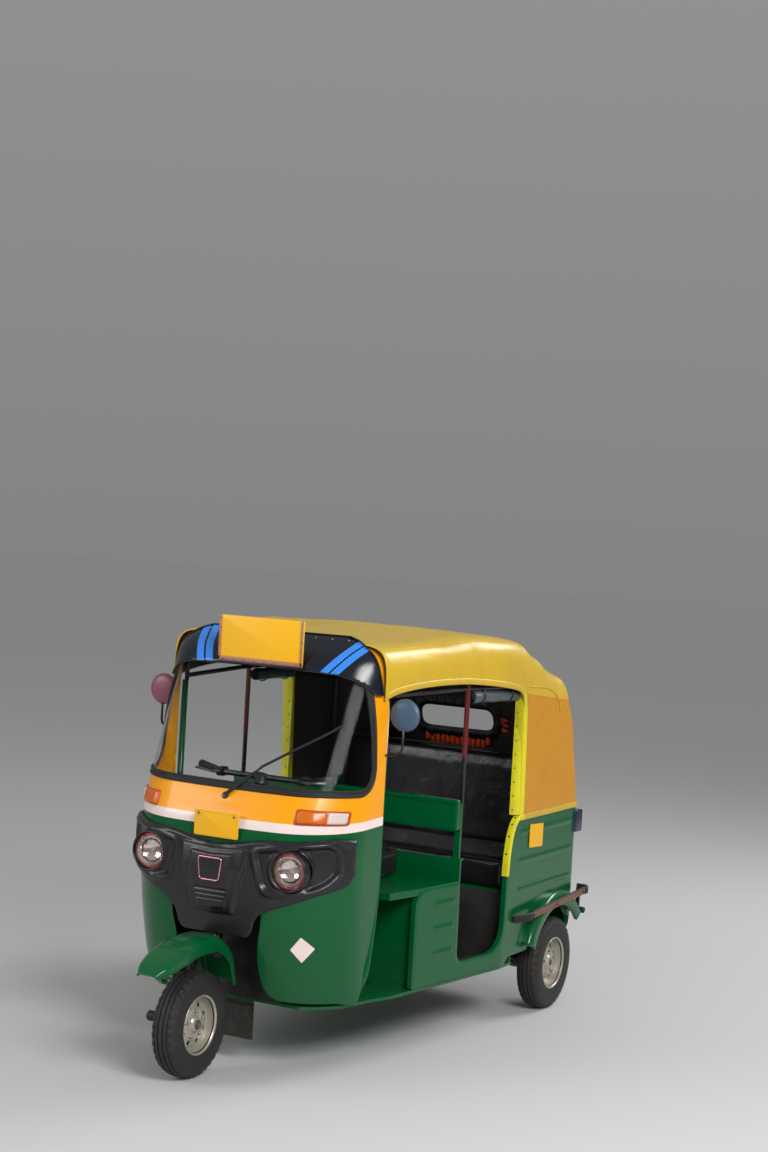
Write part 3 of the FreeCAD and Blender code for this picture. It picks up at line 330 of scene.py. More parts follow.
def trimmed_sheet(name, surface_at, loops, cell, outer, inner, soft_edge=0.0):
    # Sheet between two offsets of a curved surface, cut to outlines in the surface's own two distances.
    # soft_edge draws the outer face's rim in by that much, so that the edge is rounded.
    loops = [np.array(loop, float) for loop in loops]
    low, high = loops[0].min(0) - cell, loops[0].max(0) + cell
    nu, nv = (np.ceil((high - low) / cell)).astype(int)
    us, vs = low[0] + cell * np.arange(nu + 1), low[1] + cell * np.arange(nv + 1)
    grid = np.stack(np.meshgrid(us, vs, indexing="ij"), -1).reshape(-1, 2)
    index = np.arange((nu + 1) * (nv + 1)).reshape(nu + 1, nv + 1)
    cells = np.stack([index[:-1, :-1], index[1:, :-1], index[1:, 1:], index[:-1, 1:]], -1).reshape(-1, 4)
    middle = grid[cells].mean(1)
    cells = cells[inside(middle, loops)]
    edges = np.concatenate([cells[:, [i, (i + 1) % 4]] for i in range(4)])
    key = np.sort(edges, 1)
    _, first, count = np.unique(key, axis=0, return_index=True, return_counts=True)
    rim_edges = edges[first[count == 1]]
    rim = np.unique(rim_edges)
    grid[rim] = onto(grid[rim], loops)
    used = np.unique(cells)
    renumber = np.full(len(grid), -1)
    renumber[used] = np.arange(len(used))
    flat = grid[used]
    top = np.full(len(used), float(outer))
    top[renumber[rim]] -= soft_edge
    face = renumber[cells]
    out = surface_at(flat[:, 0], flat[:, 1], top)
    back = surface_at(flat[:, 0], flat[:, 1], np.full(len(used), float(inner)))
    n = len(used)
    wall = renumber[rim_edges]
    walls = np.stack([wall[:, 1], wall[:, 0], wall[:, 0] + n, wall[:, 1] + n], 1)
    points = np.concatenate([out, back])
    faces = [tuple(f) for f in face] + [tuple(f[::-1] + n) for f in face] + [tuple(f) for f in walls]
    return add_mesh(name, points, faces)


def finish(thing, material, stands_for=(), sharp=30, body="body"):
    # Gives the piece its finish, lets creases show and fixes it to the body it belongs to.
    if material is not None:
        thing.data.materials.clear()
        thing.data.materials.append(material)
    if sharp:
        thing.data.shade_smooth()
        thing.data.set_sharp_from_angle(angle=math.radians(sharp))
    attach(thing, body)
    if stands_for:
        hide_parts(*([stands_for] if isinstance(stands_for, str) else stands_for))
    return thing


# Rear edge of the nose: the pressed sheets end on this line, given in the side view, against the steel
# tubes of the door posts that they are welded to.
POST = [(532, 250), (526, 310), (508, 375), (482, 505), (460, 645), (455, 760), (455, 1700)]


def post_x(z):
    return np.interp(z, *np.transpose(POST)[::-1])


def around(low_line, high_line):
    # Closed outline on the nose from a lower and an upper line of (s, height), both from right to left.
    return dense(low_line + high_line[::-1])


def post_side(z0, z1, sign, count):
    return [(sign * s_by_x(post_x(z), z), z) for z in np.linspace(z0, z1, count)]


def mirrored(points):
    # Right half of a line from its left half, then the left half.
    return [(-s, z) for s, z in points[::-1]] + list(points)


# Green apron: the steel sheet below the stripe, enamelled green. It is open in the middle for the steered
# wheel, has a round hole for each headlamp, and runs back on each side to the door post and the sill.
def stripe_z(x, low):
    return (946 if low else 982) + (950 - x) * (20 if low else 18) / 520


def stripe_line(low):
    line = []
    for s in np.linspace(0, 1, 60):
        z = 960.0
        for _ in range(4):
            at = s * s_by_x(455, z)
            z = stripe_z(nose_bare(np.array([at]), np.array([z]))[0, 0], low)
        line.append((s * s_by_x(455, z), z))
    return line


def to_nose(line):
    return [(s_by_y(y, z), z) for y, z in line]


SILL = [(532, 266), (560, 268), (640, 284), (760, 288)]
OPENING = [(296, 288), (252, 291), (218, 306), (196, 338), (185, 390), (182, 450), (188, 520), (200, 580),
           (204, 640), (150, 690), (0, 700)]
left_edge = [(s_by_x(x, z), z) for x, z in SILL]
opening_edge = to_nose(OPENING)
apron_left = post_side(266, 946 + 495 * 20 / 520, 1, 40)
low_stripe = stripe_line(True)
apron_loop = mirrored(opening_edge[::-1] + left_edge[::-1] + apron_left[1:])
lamp_rings = []
for sign in (1, -1):
    ring = []
    for a in np.linspace(0, 2 * math.pi, 72, endpoint=False):
        z = 810 + 70 * math.sin(a)
        ring.append((s_by_y(sign * 316 + 70 * math.cos(a), z), z))
    lamp_rings.append(np.array(ring))
green_enamel = worn("green enamel", tint(0, 84, 42), 0.18, 0.16, height=0.5, Specular_IOR_Level=0.22,
                    Coat_Weight=0.22, Coat_Roughness=0.06)
apron = trimmed_sheet("apron_sheet", nose_surface,
                      [dense(apron_loop + low_stripe[::-1] + [(-s, z) for s, z in low_stripe])] + lamp_rings,
                      9, 0, -3)
finish(apron, green_enamel, "front_apron")

# White stripe: a narrow band of white enamel round the nose from post to post, between the apron and the
# cowl. It stands a millimetre proud of the sheet, so that both its edges show.
high_stripe = stripe_line(False)
white_enamel = worn("white enamel", tint(236, 216, 210), 0.25, 0.2)
stripe = trimmed_sheet("waist_band", nose_surface,
                       [around(mirrored(low_stripe[1:]), mirrored(high_stripe[1:]))], 9, 1.0, -3)
finish(stripe, white_enamel, "waist_stripe")


# Yellow cowl: the steel sheet from the stripe to the roof, enamelled yellow, with one large opening for the
# wrapped windscreen. Its sides end at the door posts and its top edge runs back under the hood.
def whole(half):
    # Outline on both sides of the middle from its left half.
    return list(half) + [(-s, z) for s, z in half[::-1]][1:-1]


def screen_loop(grow):
    low, high = 1103 - grow, 1585 + grow
    r_low, r_high = 82 + grow, 60 + grow
    half = [(0.0, low), (s_by_x(552 - grow + r_low, low), low)]
    for k in range(1, 12):
        a = math.pi / 2 * k / 12
        x, z = 552 - grow + r_low * (1 - math.sin(a)), low + r_low * (1 - math.cos(a))
        half.append((s_by_x(x, z), z))
    for z in np.linspace(low + r_low, high - r_high, 14):
        half.append((s_by_x(552 - grow - 12 * (z - low) / (high - low), z), z))
    for k in range(1, 12):
        a = math.pi / 2 * k / 12
        x, z = 540 - grow + r_high * (1 - math.cos(a)), high - r_high * (1 - math.sin(a))
        half.append((s_by_x(x, z), z))
    half.append((0.0, high))
    return dense([(-s, z) for s, z in half[::-1]] + half[1:-1], 5)


# The hood's front edge: distance from the middle and height.
HOOD_FRONT = [(0, 1676), (338, 1664), (412, 1660), (466, 1637), (489, 1585)]


def under_hood(s):
    # Height of the cowl's top edge: 2 mm under the hood's front edge where the cowl runs back beneath it.
    z = 1679.0
    for _ in range(12):
        x, y, _ = nose_bare(np.array([s]), np.array([z]))[0]
        below = np.interp(abs(y), *np.transpose(HOOD_FRONT)) - 2
        z += 0.6 * ((1679.0 if x > 492 else below) - z)
    return s, z


cowl_side = post_side(1001, 1640, 1, 60)
cowl_top = [under_hood(s) for s in np.linspace(s_by_x(455, 1640), 0, 90)]
cowl_half = high_stripe + cowl_side[1:] + cowl_top[1:]
yellow_enamel = worn("yellow enamel", tint(238, 156, 4), 0.3, 0.1, Specular_IOR_Level=0.3, Coat_Weight=0.2,
                     Coat_Roughness=0.08)
cowl = trimmed_sheet("cowl_sheet", nose_surface, [dense(whole(cowl_half)), screen_loop(0)], 9, 0, -3)
finish(cowl, yellow_enamel, "cowl")

# Windscreen: one bent sheet of clear glass, five millimetres thick, set in the cowl's opening. A black
# rubber channel with a thick lip on either side of the metal's edge holds it.
glass, tree, surface = shader("clear glass", Base_Color=(0.93, 0.97, 0.95, 1), Transmission_Weight=1,
                              Roughness=0.02, IOR=1.12)
film = add_node(tree, "TexNoise", Scale=5, Detail=6)
haze = add_node(tree, "MapRange", Value=film.outputs["Fac"], To_Min=0.01, To_Max=0.06)
feed(surface.inputs["Roughness"], haze.outputs["Result"])
screen = trimmed_sheet("windscreen_glass", nose_surface, [screen_loop(-2)], 14, 0, -5)
finish(screen, glass, "windscreen")


def net_faces(rows, columns, ring=False, loop=False, back=False):
    # Quads of a net of points laid out row by row. ring closes each row, loop closes the rows on each
    # other, and back turns the faces over.
    faces = []
    for i in range(rows if loop else rows - 1):
        for k in range(columns if ring else columns - 1):
            a, b, on = i * columns, (i + 1) % rows * columns, (k + 1) % columns
            faces.append((a + k, b + k, b + on, a + on) if back else (a + k, a + on, b + on, b + k))
    return faces


def tube(name, path, radius, sides, closed=False, squash=1.0):
    # Round bar along a line of points, in millimetres.
    path = np.array(path, float)
    if not np.ndim(radius):
        path = path[np.append(True, np.linalg.norm(np.diff(path, axis=0), axis=1) > 0.05)]
    if closed and np.linalg.norm(path[0] - path[-1]) < 0.05:
        path = path[:-1]
    n = len(path)
    run = np.roll(path, -1, 0) - np.roll(path, 1, 0) if closed else np.gradient(path, axis=0)
    stuck = np.linalg.norm(run, axis=1) < 1e-6
    run[stuck] = (np.roll(path, -1, 0) - path)[stuck]
    run /= np.linalg.norm(run, axis=1)[:, None]
    side = np.cross(run[0], (0, 0, 1) if abs(run[0][2]) < 0.9 else (1, 0, 0))
    side /= np.linalg.norm(side)
    rings = []
    for i in range(n):
        side = side - run[i] * (side @ run[i])
        side /= np.linalg.norm(side)
        over = np.cross(side, run[i])
        size = radius[i] if np.ndim(radius) else radius
        for k in range(sides):
            a = 2 * math.pi * k / sides
            rings.append(path[i] + size * (math.cos(a) * side + squash * math.sin(a) * over))
    faces = net_faces(n, sides, ring=True, loop=closed, back=True)
    if not closed:
        faces += [tuple(range(sides)), tuple(range((n - 1) * sides, n * sides))[::-1]]
    return add_mesh(name, rings, faces)


def show_shape(name, shape):
    mesh = bpy.data.meshes.new(name)
    shape.to_mesh(mesh)
    shape.free()
    mesh.shade_smooth()
    return show(name, mesh)


def join(name, parts):
    # One mesh from several.
    shape = bmesh.new()
    for part in parts:
        shape.from_mesh(part.data)
        bpy.data.objects.remove(part)
    return show_shape(name, shape)


seal_parts = []
for grow, lift, radius in ((9, 2.5, 7.0), (-7, 3.0, 7.0)):
    line = screen_loop(grow)
    path = nose_surface(line[:, 0], line[:, 1], np.full(len(line), lift))
    seal_parts.append(tube("seal_lip", path, radius, 8, closed=True, squash=0.8))
seal_parts.append(trimmed_sheet("seal_web", nose_surface, [screen_loop(15), screen_loop(-13)], 6, 5, 0.2,
                                soft_edge=2))
black_rubber = worn("black rubber", tint(20, 20, 21), 0.62, 0.3)
seal = join("windscreen_rubber", seal_parts)
finish(seal, black_rubber, "windscreen_seal", sharp=0)

# Hood: one vinyl-coated cloth sheet stretched over four tube bows, its back falling to the tail, with a
# bound hem. The sheet is smoothed from a coarse net whose outer rows lie on the hood's virtual edges.
CROWN = np.array([
    # x, half width and height of the roof's middle
    (-1270, 604, 1470), (-1010, 604, 1498), (-880, 604, 1536), (-700, 604, 1618), (-500, 602, 1686),
    (-300, 580, 1704), (-50, 550, 1700), (200, 520, 1690), (492, 492, 1676)], float)
HEM = [(-574, 1440), (-520, 1452), (-350, 1477), (-130, 1496), (30, 1500), (200, 1496), (318, 1489),
       (424, 1476), (492, 1455)]
BACK = [(886, -1253), (1055, -1204), (1240, -1155), (1383, -1114), (1490, -1081)]
BOW_X = [441, -152, -590, -1000]
roof_x = [492, 470, 425, 340, 250, 160, 60, -40, -120, -200, -290, -380, -470, -574, -650, -735, -820, -906,
          -1081]
QUARTER_AT = roof_x.index(-574)
REAR = len(roof_x) - 1
low_front = [1495, 1440, 1300, 1150, 1010, 886]
low_rear = [1323, 1240, 1130, 1010, 940, 886]


def back_x(z):
    return np.interp(z, *np.transpose(BACK))


def lead_x(z):
    return np.interp(z, [905, 1050, 1250, 1440], [-600, -596, -585, -574])


net, points = {}, []


def knot(key, x, y, z):
    net[key] = len(points)
    points.append((x, y, z))


for i, x in enumerate(roof_x):
    half, crown = follow(CROWN, np.array([float(x)]))[0]
    for sign in (-1, 1):
        for j in range(0 if sign > 0 else 1, 5):
            y = (half - 154) * j / 3 if j < 4 else half
            drop = 13 * min(y / (half - 88), 1) ** 2
            knot((i, sign * j), x, sign * y, crown - drop)
        if i < QUARTER_AT:
            knot((i, sign * 5), x, sign * half, crown - 167)
            knot((i, sign * 6), x, sign * half, np.interp(x, *np.transpose(HEM)))
            continue
        t = min((-574 - x) / (906 - 574), 1)
        for k in range(6):
            z = low_front[k] * (1 - t) + low_rear[k] * t
            tail = back_x(low_rear[k]) + (150 if k == 0 else 105)
            x_at = back_x(low_rear[k]) if i == REAR else lead_x(z) * (1 - t) + tail * t
            knot((i, sign * (5 + k)), x_at, sign * half, z)
for k in range(6):
    for j in range(-3, 4):
        knot(("back", k, j), back_x(low_rear[k]), j / 3 * (480 + 19 * min(k, 1)), low_rear[k])
faces = []


def patch(*keys):
    if all(key in net for key in keys):
        faces.append([net[key] for key in keys])


def back_key(k, j):
    # Knot in row k of the back cloth, whose top and side rows are shared with the roof and the quarters.
    if k < 0:
        return REAR, j
    return (REAR, (5 + k) * (1 if j > 0 else -1)) if abs(j) == 4 else ("back", k, j)


for i in range(REAR):
    for j in range(-10, 10):
        patch((i, j), (i, j + 1), (i + 1, j + 1), (i + 1, j))
for k in range(-1, 5):
    for j in range(-4, 4):
        patch(back_key(k, j), back_key(k, j + 1), back_key(k + 1, j + 1), back_key(k + 1, j))
coarse = add_mesh("hood_net", points, faces)
smooth = coarse.modifiers.new("round", "SUBSURF")
smooth.levels = smooth.render_levels = 3
smooth.boundary_smooth = "PRESERVE_CORNERS"
fine = bpy.data.meshes.new_from_object(coarse.evaluated_get(bpy.context.evaluated_depsgraph_get()))
bpy.data.objects.remove(coarse)
cloth = np.array([v.co for v in fine.vertices]) * 1000
cloth_normal = np.array([v.vector for v in fine.vertex_normals])
quads = np.array([list(f.vertices) for f in fine.polygons])
bpy.data.meshes.remove(fine)


def round_off(points, radius_at, steps):
    # Closed outline with the corners listed in radius_at rounded.
    result = []
    for i, p in enumerate(points):
        if i not in radius_at:
            result.append(p)
            continue
        here = np.array(p, float)
        a = np.array(points[i - 1], float) - here
        b = np.array(points[(i + 1) % len(points)], float) - here
        a /= np.linalg.norm(a)
        b /= np.linalg.norm(b)
        reach = radius_at[i]
        for k in range(steps + 1):
            t = k / steps
            result.append(tuple(here + a * reach * (1 - t) ** 2 + b * reach * t ** 2))
    return result


def rounded(outline, radius, steps=8):
    return round_off(outline, dict.fromkeys(range(len(outline)), radius), steps)


def corners(low_a, high_a, low_b, high_b):
    # The four corners of a rectangle.
    return [(low_a, low_b), (high_a, low_b), (high_a, high_b), (low_a, high_b)]


window_line = rounded(corners(-195, 195, 1178.5, 1295.5), 56)
window_edge = dense(window_line, 6)
middle = cloth[quads].mean(1)
facing = cloth_normal[quads].mean(1)
in_window = (facing[:, 0] < -0.7) & inside(middle[:, 1:], [window_edge])
quads = quads[~in_window]


def rims(quads):
    # Ordered open edges of a sheet, as loops of point numbers.
    edges = np.concatenate([quads[:, [i, (i + 1) % 4]] for i in range(4)])
    key = np.sort(edges, 1)
    _, first, count = np.unique(key, axis=0, return_index=True, return_counts=True)
    onward = {int(a): int(b) for a, b in edges[first[count == 1]]}
    loops = []
    while onward:
        start = next(iter(onward))
        loop, at = [], start
        while at in onward:
            loop.append(at)
            at = onward.pop(at)
        loops.append(loop)
    return sorted(loops, key=len)


window_rim, outer_rim = rims(quads)[0], rims(quads)[-1]
snapped = onto(cloth[window_rim][:, 1:], [window_edge])
cloth[window_rim, 1:] = snapped
cloth[window_rim, 0] = back_x(snapped[:, 1])


def noise_at(p, scale, seed):
    q = p / np.array(scale)
    return np.array([noise.noise(Vector((float(a) + seed, float(b) - seed, float(c) + 3.7 * seed)))
                     for a, b, c in q])


def step_up(x, lo, hi):
    t = np.clip((x - lo) / (hi - lo), 0, 1)
    return t * t * (3 - 2 * t)


upward = step_up(cloth_normal[:, 2], 0.25, 0.9)
sideways = step_up(np.abs(cloth_normal[:, 1]), 0.5, 0.95)
rearward = step_up(-cloth_normal[:, 0], 0.5, 0.9)
along = np.interp(-cloth[:, 0], [-492] + [-b for b in BOW_X], [-0.3, 0, 1, 2, 3])
between = along - np.floor(along)
sag = 4 * between * (1 - between) * np.where(along < 0, 0, 1)
depth = np.where((cloth[:, 0] < -590), 3.0, 8.0)
shift = -depth * sag * upward
for bow in BOW_X[1:]:
    shift += 3.0 * np.exp(-((cloth[:, 0] - bow) / 16) ** 2) * (
        upward + 0.5 * sideways * (cloth[:, 2] > 1440))
shoulder = np.clip(4 * np.abs(cloth_normal[:, 1]) * np.abs(cloth_normal[:, 2]), 0, 1)
shift += 5.0 * shoulder * noise_at(cloth, (260, 60, 48), 1.3)
shift += 3.0 * upward * noise_at(cloth, (240, 110, 200), 4.1)
rear_cap = step_up(-cloth[:, 0], 560, 760) * step_up(cloth[:, 2], 1250, 1420)
shift += 5.0 * rear_cap * noise_at(cloth, (90, 120, 130), 7.7)
low_side = step_up(-cloth[:, 0], 590, 700) * (1 - step_up(cloth[:, 2], 1330, 1460))
shift += 3.2 * low_side * noise_at(cloth, (120, 120, 420), 2.2) * (sideways + rearward)
shift += 1.2 * noise_at(cloth, (55, 55, 55), 9.1) * (0.4 + 0.6 * shoulder)
rim_tree = kdtree.KDTree(len(outer_rim) + len(window_rim))
for k, at in enumerate(list(outer_rim) + list(window_rim)):
    rim_tree.insert(Vector(cloth[at]), k)
rim_tree.balance()
near_rim = np.array([rim_tree.find(Vector(p))[2] for p in cloth])
shift *= step_up(near_rim, -10, 60)
cloth = cloth + cloth_normal * shift[:, None]

# Vinyl of the hood: a woven backing that just shows through a semi-gloss coat, creased and a little soiled.
# The roof is lemon yellow, the quarters are golden, the front hems brighter, and the inside is the dark
# backing cloth.
vinyl_grain, given, result = new_group(
    "vinyl grain", [("Strength", "Float", 0.25), ("Crease", "Float", 0.35)],
    [("Normal", "Vector"), ("Soil", "Float"), ("Shade", "Float")])
place = add_node(vinyl_grain, "TexCoord").outputs["Object"]
weave = add_node(vinyl_grain, "TexVoronoi", Vector=place, Scale=420.0).outputs["Distance"]
crease = add_node(vinyl_grain, "TexNoise", Vector=place, Scale=9.0, Detail=7.0, Roughness=0.62,
                  Distortion=1.2).outputs["Fac"]
soil = add_node(vinyl_grain, "TexNoise", Vector=place, Scale=3.2, Detail=9.0, Roughness=0.7).outputs["Fac"]
fine_bump = add_node(vinyl_grain, "Bump", Distance=0.0004, Height=weave, Strength=given.outputs["Strength"])
crease_bump = add_node(vinyl_grain, "Bump", Distance=0.006, Height=crease, Strength=given.outputs["Crease"],
                       Normal=fine_bump.outputs["Normal"])
soil_range = add_node(vinyl_grain, "MapRange", Value=soil, From_Min=0.52, From_Max=0.92)
feed(result.inputs["Normal"], crease_bump.outputs["Normal"])
feed(result.inputs["Soil"], soil_range.outputs["Result"])
feed(result.inputs["Shade"], crease)


def vinyl(name, colour, soiled, gloss=0.32, crease=0.35, strength=0.25):
    # Coated cloth of one colour, duller and darker where it is soiled.
    made, tree, surface = shader(name)
    group = add_node(tree, "Group", node_tree=vinyl_grain, Crease=crease, Strength=strength)
    mix = add_node(tree, "Mix", data_type="RGBA", A=colour, B=soiled, Factor=group.outputs["Soil"])
    rough = add_node(tree, "MapRange", To_Min=gloss, To_Max=gloss + 0.3, Value=group.outputs["Soil"])
    feed(surface.inputs["Base Color"], mix.outputs["Result"])
    feed(surface.inputs["Roughness"], rough.outputs["Result"])
    feed(surface.inputs["Normal"], group.outputs["Normal"])
    return made


roof_vinyl = vinyl("hood vinyl, lemon yellow", tint(202, 167, 36), tint(168, 140, 48))
side_vinyl = vinyl("hood vinyl, golden yellow", tint(200, 136, 10), tint(172, 118, 20))
hem_vinyl = vinyl("bright yellow binding", tint(222, 212, 30), tint(160, 140, 36), 0.3, 0.15)


# The seam between roof and quarter cloth runs straight: the points of the sheet on it are slid along the
# cloth.
def seam_z(x):
    return np.interp(x, [-1150, -1000, -574], [1375, 1385, 1436])


middle = cloth[quads].mean(1)
lower = (middle[:, 0] < -570) & (middle[:, 2] < seam_z(middle[:, 0]))
on_seam = np.setdiff1d(np.intersect1d(quads[lower].ravel(), quads[~lower].ravel()),
                       list(outer_rim) + list(window_rim))
wanted = seam_z(cloth[on_seam, 0]) - cloth[on_seam, 2]
slide = np.stack([0 * wanted, 0 * wanted, wanted], 1)
slide -= cloth_normal[on_seam] * (slide * cloth_normal[on_seam]).sum(1)[:, None]
safe = np.where(np.abs(slide[:, 2]) < 0.01, 1, slide[:, 2])
cloth[on_seam] += slide * np.clip(wanted / safe, 0, 3)[:, None]
sheet_thing = add_mesh("hood_sheet", cloth, quads)
sheet_thing.data.materials.append(roof_vinyl)
sheet_thing.data.materials.append(side_vinyl)
lining = vinyl("dark hood backing cloth", tint(46, 36, 34), tint(70, 54, 44), 0.6, 0.2)
for count in range(2):
    sheet_thing.data.materials.append(lining)
for polygon, index in zip(sheet_thing.data.polygons, lower):
    polygon.material_index = int(index)


def thicken(thing, thickness, offset=-1.0):
    # Gives a single sheet its thickness, in millimetres.
    thick = thing.modifiers.new("thickness", "SOLIDIFY")
    thick.thickness = thickness / 1000
    thick.offset = offset
    return thick


thicken(sheet_thing, 3).material_offset = 2
finish(sheet_thing, None, ("canopy_roof", "canopy_sides", "canopy_back"), sharp=0)


# Bindings: a strip of vinyl folded over the hood's free edge and sewn, bright yellow down the front of the
# quarters, and a wider black one round the rear window, which holds the clear pane behind it.
def ribbon(name, line, inward, outward, profile):
    # Strip along a closed line on a sheet: profile as (distance inward, height outward).
    n, m = len(line), len(profile)
    rings = np.concatenate([line[i] + np.array([d * inward[i] + h * outward[i] for d, h in profile])
                            for i in range(n)])
    return add_mesh(name, rings, net_faces(n, m, loop=True, back=True))


def rim_frame(loop, points, normals, quads):
    # Line, inward direction and normal along an open edge.
    line = points[loop]
    centre = points[quads].mean(1)
    pull = np.zeros_like(points)
    for i in range(4):
        np.add.at(pull, quads[:, i], centre - points[quads[:, i]])
    run = np.roll(line, -1, 0) - np.roll(line, 1, 0)
    run /= np.linalg.norm(run, axis=1)[:, None]
    up = normals[loop]
    inward = pull[loop]
    inward -= run * (inward * run).sum(1)[:, None]
    inward -= up * (inward * up).sum(1)[:, None]
    inward /= np.linalg.norm(inward, axis=1)[:, None]
    return line, inward, up


line, inward, up = rim_frame(outer_rim, cloth, cloth_normal, quads)
hem = ribbon("hood_binding", line, inward, up,
             [(2, -4.5), (-1.6, -3.5), (-2.0, 0), (0, 1.8), (11, 2.1), (21, 1.8), (23, 0.2)])
hem.data.materials.append(hem_vinyl)
hem.data.materials.append(roof_vinyl)
for f in hem.data.polygons:
    f.material_index = 0 if -0.63 < f.center.x < -0.56 and f.center.z < 1.45 else 1
finish(hem, None, (), sharp=0)
line, inward, up = rim_frame(window_rim, cloth, cloth_normal, quads)
frame_strip = ribbon("window_binding", line, inward, up,
                     [(3, -6), (-9, -6), (-11, -2), (-9, 3), (0, 5), (18, 4), (22, 0.2)])
black_vinyl = vinyl("black vinyl", tint(30, 27, 30), tint(70, 60, 52), 0.34, 0.25)
finish(frame_strip, black_vinyl, (), sharp=0)
pane = trimmed_sheet("rear_pane", lambda u, v, w: np.stack([back_x(v) + 1 + w, u, v], 1),
                     [window_edge], 12, 0, 2)
finish(pane, glass, "rear_window")

# Inside trim of the rear window: a gathered surround of black vinyl round the opening, and tabs of thin
# orange-red cloth sewn in a row under it and at both its ends.
ring_at = dense(window_line, 3)
centre_at = ring_at.mean(0)
aside = np.roll(ring_at, -1, 0) - np.roll(ring_at, 1, 0)
aside = np.stack([aside[:, 1], -aside[:, 0]], 1) / np.linalg.norm(aside, axis=1)[:, None]
aside *= np.sign((aside * (ring_at - centre_at)).sum(1))[:, None]
walked = np.cumsum(np.linalg.norm(np.roll(ring_at, -1, 0) - ring_at, axis=1))
gather = []
for d, h in ((-4, 7), (-4, 12), (6, 15), (18, 13), (30, 11), (38, 8)):
    scallop = 5 * np.abs(np.sin(walked / 22)) * max(d - 6, 0) / 32
    spot = ring_at + aside * (d + scallop)[:, None]
    ruffle = 2.2 * np.sin(walked / 7) * max(d, 0) / 38
    gather.append(np.stack([back_x(spot[:, 1]) + h + ruffle, spot[:, 0], spot[:, 1]], 1))
gather = np.concatenate(gather)
surround = add_mesh("window_surround", gather, net_faces(6, len(ring_at), ring=True))
finish(surround, black_vinyl, (), sharp=0)
fringe_cloth = vinyl("orange-red fringe cloth", tint(250, 84, 26), tint(220, 70, 26), 0.6, 0.3)
tab_points, tab_faces = [], []
tabs = [(y, 1146 + 10 * (abs(y) > 140), 0, -1) for y in range(-156, 157, 26)]
tabs += [(sign * 228, z, sign, 0) for sign in (-1, 1) for z in (1198, 1222, 1246)]
for y, z, out_y, out_z in tabs:
    for r in range(4):
        for c in range(3):
            across = (c - 1) * (11.5 - (2.5 * r if out_y else 0))
            reach = r * 13
            at_y = y + out_y * reach + (across if out_z else 0)
            at_z = z + out_z * reach + (across if out_y else 0)
            tab_points.append((back_x(at_z) + 9 + 2 * math.cos(c * 2 + y) + r * 1.2, at_y, at_z))
    first = len(tab_points) - 12
    tab_faces += [(first + r * 3 + c, first + r * 3 + c + 1, first + r * 3 + c + 4, first + r * 3 + c + 3)
                  for r in range(3) for c in range(2)]
fringe = add_mesh("window_fringe", tab_points, tab_faces)
thicken(fringe, 1)
finish(fringe, fringe_cloth, sharp=0)


# Straps and seams: a bright strap riveted down the front leg of each quarter, sewn seams where the cloths
# of the hood meet, and a curved line of piping on each quarter.
def on_hood(start, stop, count, lift=0.5):
    # Points on the sheet nearest a straight line, lifted off it.
    tree = kdtree.KDTree(len(cloth))
    for k, p in enumerate(cloth):
        tree.insert(Vector(p), k)
    tree.balance()
    out = []
    for t in np.linspace(0, 1, count):
        aim = np.array(start) * (1 - t) + np.array(stop) * t
        found, k, gap = tree.find(Vector(aim))
        normal = cloth_normal[k]
        out.append(aim - normal * ((aim - cloth[k]) @ normal) + normal * lift)
    return out


strap_z = np.linspace(908, 1432, 20)
strap_points = [(max(lead_x(z) + 3, -578) * (1 - c ** 3) + (lead_x(z) + 1) * c ** 3, 556 + 44 * c, z)
                for z in strap_z for c in (0, 0.25, 0.5, 0.75, 1)]
pillar_strap = add_mesh("pillar_strap", strap_points, net_faces(20, 5))


def flip(thing, name):
    # The same piece on the other side of the vehicle.
    mesh = thing.data.copy()
    mesh.transform(Matrix.Scale(-1, 4, (0, 1, 0)))
    mesh.flip_normals()
    return show(name, mesh)


def pair(name, thing):
    # One piece from a left half and its mirror image.
    return join(name, [flip(thing, name + "_right"), thing])


finish(pair("pillar_straps", pillar_strap), hem_vinyl, (), sharp=0)


def lathe(name, profile, centre, axis, steps, start=0.0, sweep=2 * math.pi):
    # Surface through (radius, distance) points turned about an axis; a full turn closes on itself.
    axis = np.array(axis, float) / np.linalg.norm(axis)
    side = np.cross(axis, (0, 0, 1) if abs(axis[2]) < 0.9 else (1, 0, 0))
    side /= np.linalg.norm(side)
    over = np.cross(axis, side)
    full = sweep > 6.28
    turns = start + sweep * np.arange(steps if full else steps + 1) / steps
    profile = np.array(profile, float)
    out = []
    for a in turns:
        ring = math.cos(a) * side + math.sin(a) * over
        out.append(np.array(centre) + profile[:, :1] * ring + profile[:, 1:] * axis)
    faces = net_faces(len(turns), len(profile), loop=full, back=True)
    return add_mesh(name, np.concatenate(out), faces)


bare_steel = worn("bare steel", tint(130, 130, 128), 0.35, 0.3, Metallic=1.0)
heads = [lathe("strap_rivet", [(0.1, 2.5), (2.5, 2), (4, 0)], (max(lead_x(z) + 3, -578) + 1, 570, z),
               (1, 0, 0), 10) for z in np.linspace(930, 1410, 9)]
finish(pair("pillar_rivets", join("strap_rivets", heads)), bare_steel, sharp=0)
seams = []
for sign in (1, -1):
    seams.append(tube("seam", on_hood((-580, sign * 604, 1436), (-1000, sign * 604, 1385), 50), 1.5, 6))
    seams.append(tube("seam", on_hood((-1000, sign * 604, 1385), (-1118, sign * 560, 1375), 20), 1.5, 6))
    seams.append(tube("seam", on_hood((-1118, sign * 560, 1375), (-1114, sign * 8, 1372), 60), 1.5, 6))
    seams.append(tube("seam", on_hood((486, sign * 452, 1650), (-500, sign * 562, 1660), 110), 1.6, 6))
    seams.append(tube("seam", on_hood((-500, sign * 562, 1660), (-985, sign * 566, 1478), 60), 1.6, 6))
PIPING = [(-606, 1463), (-792, 1450), (-882, 1423), (-933, 1381), (-955, 1331)]
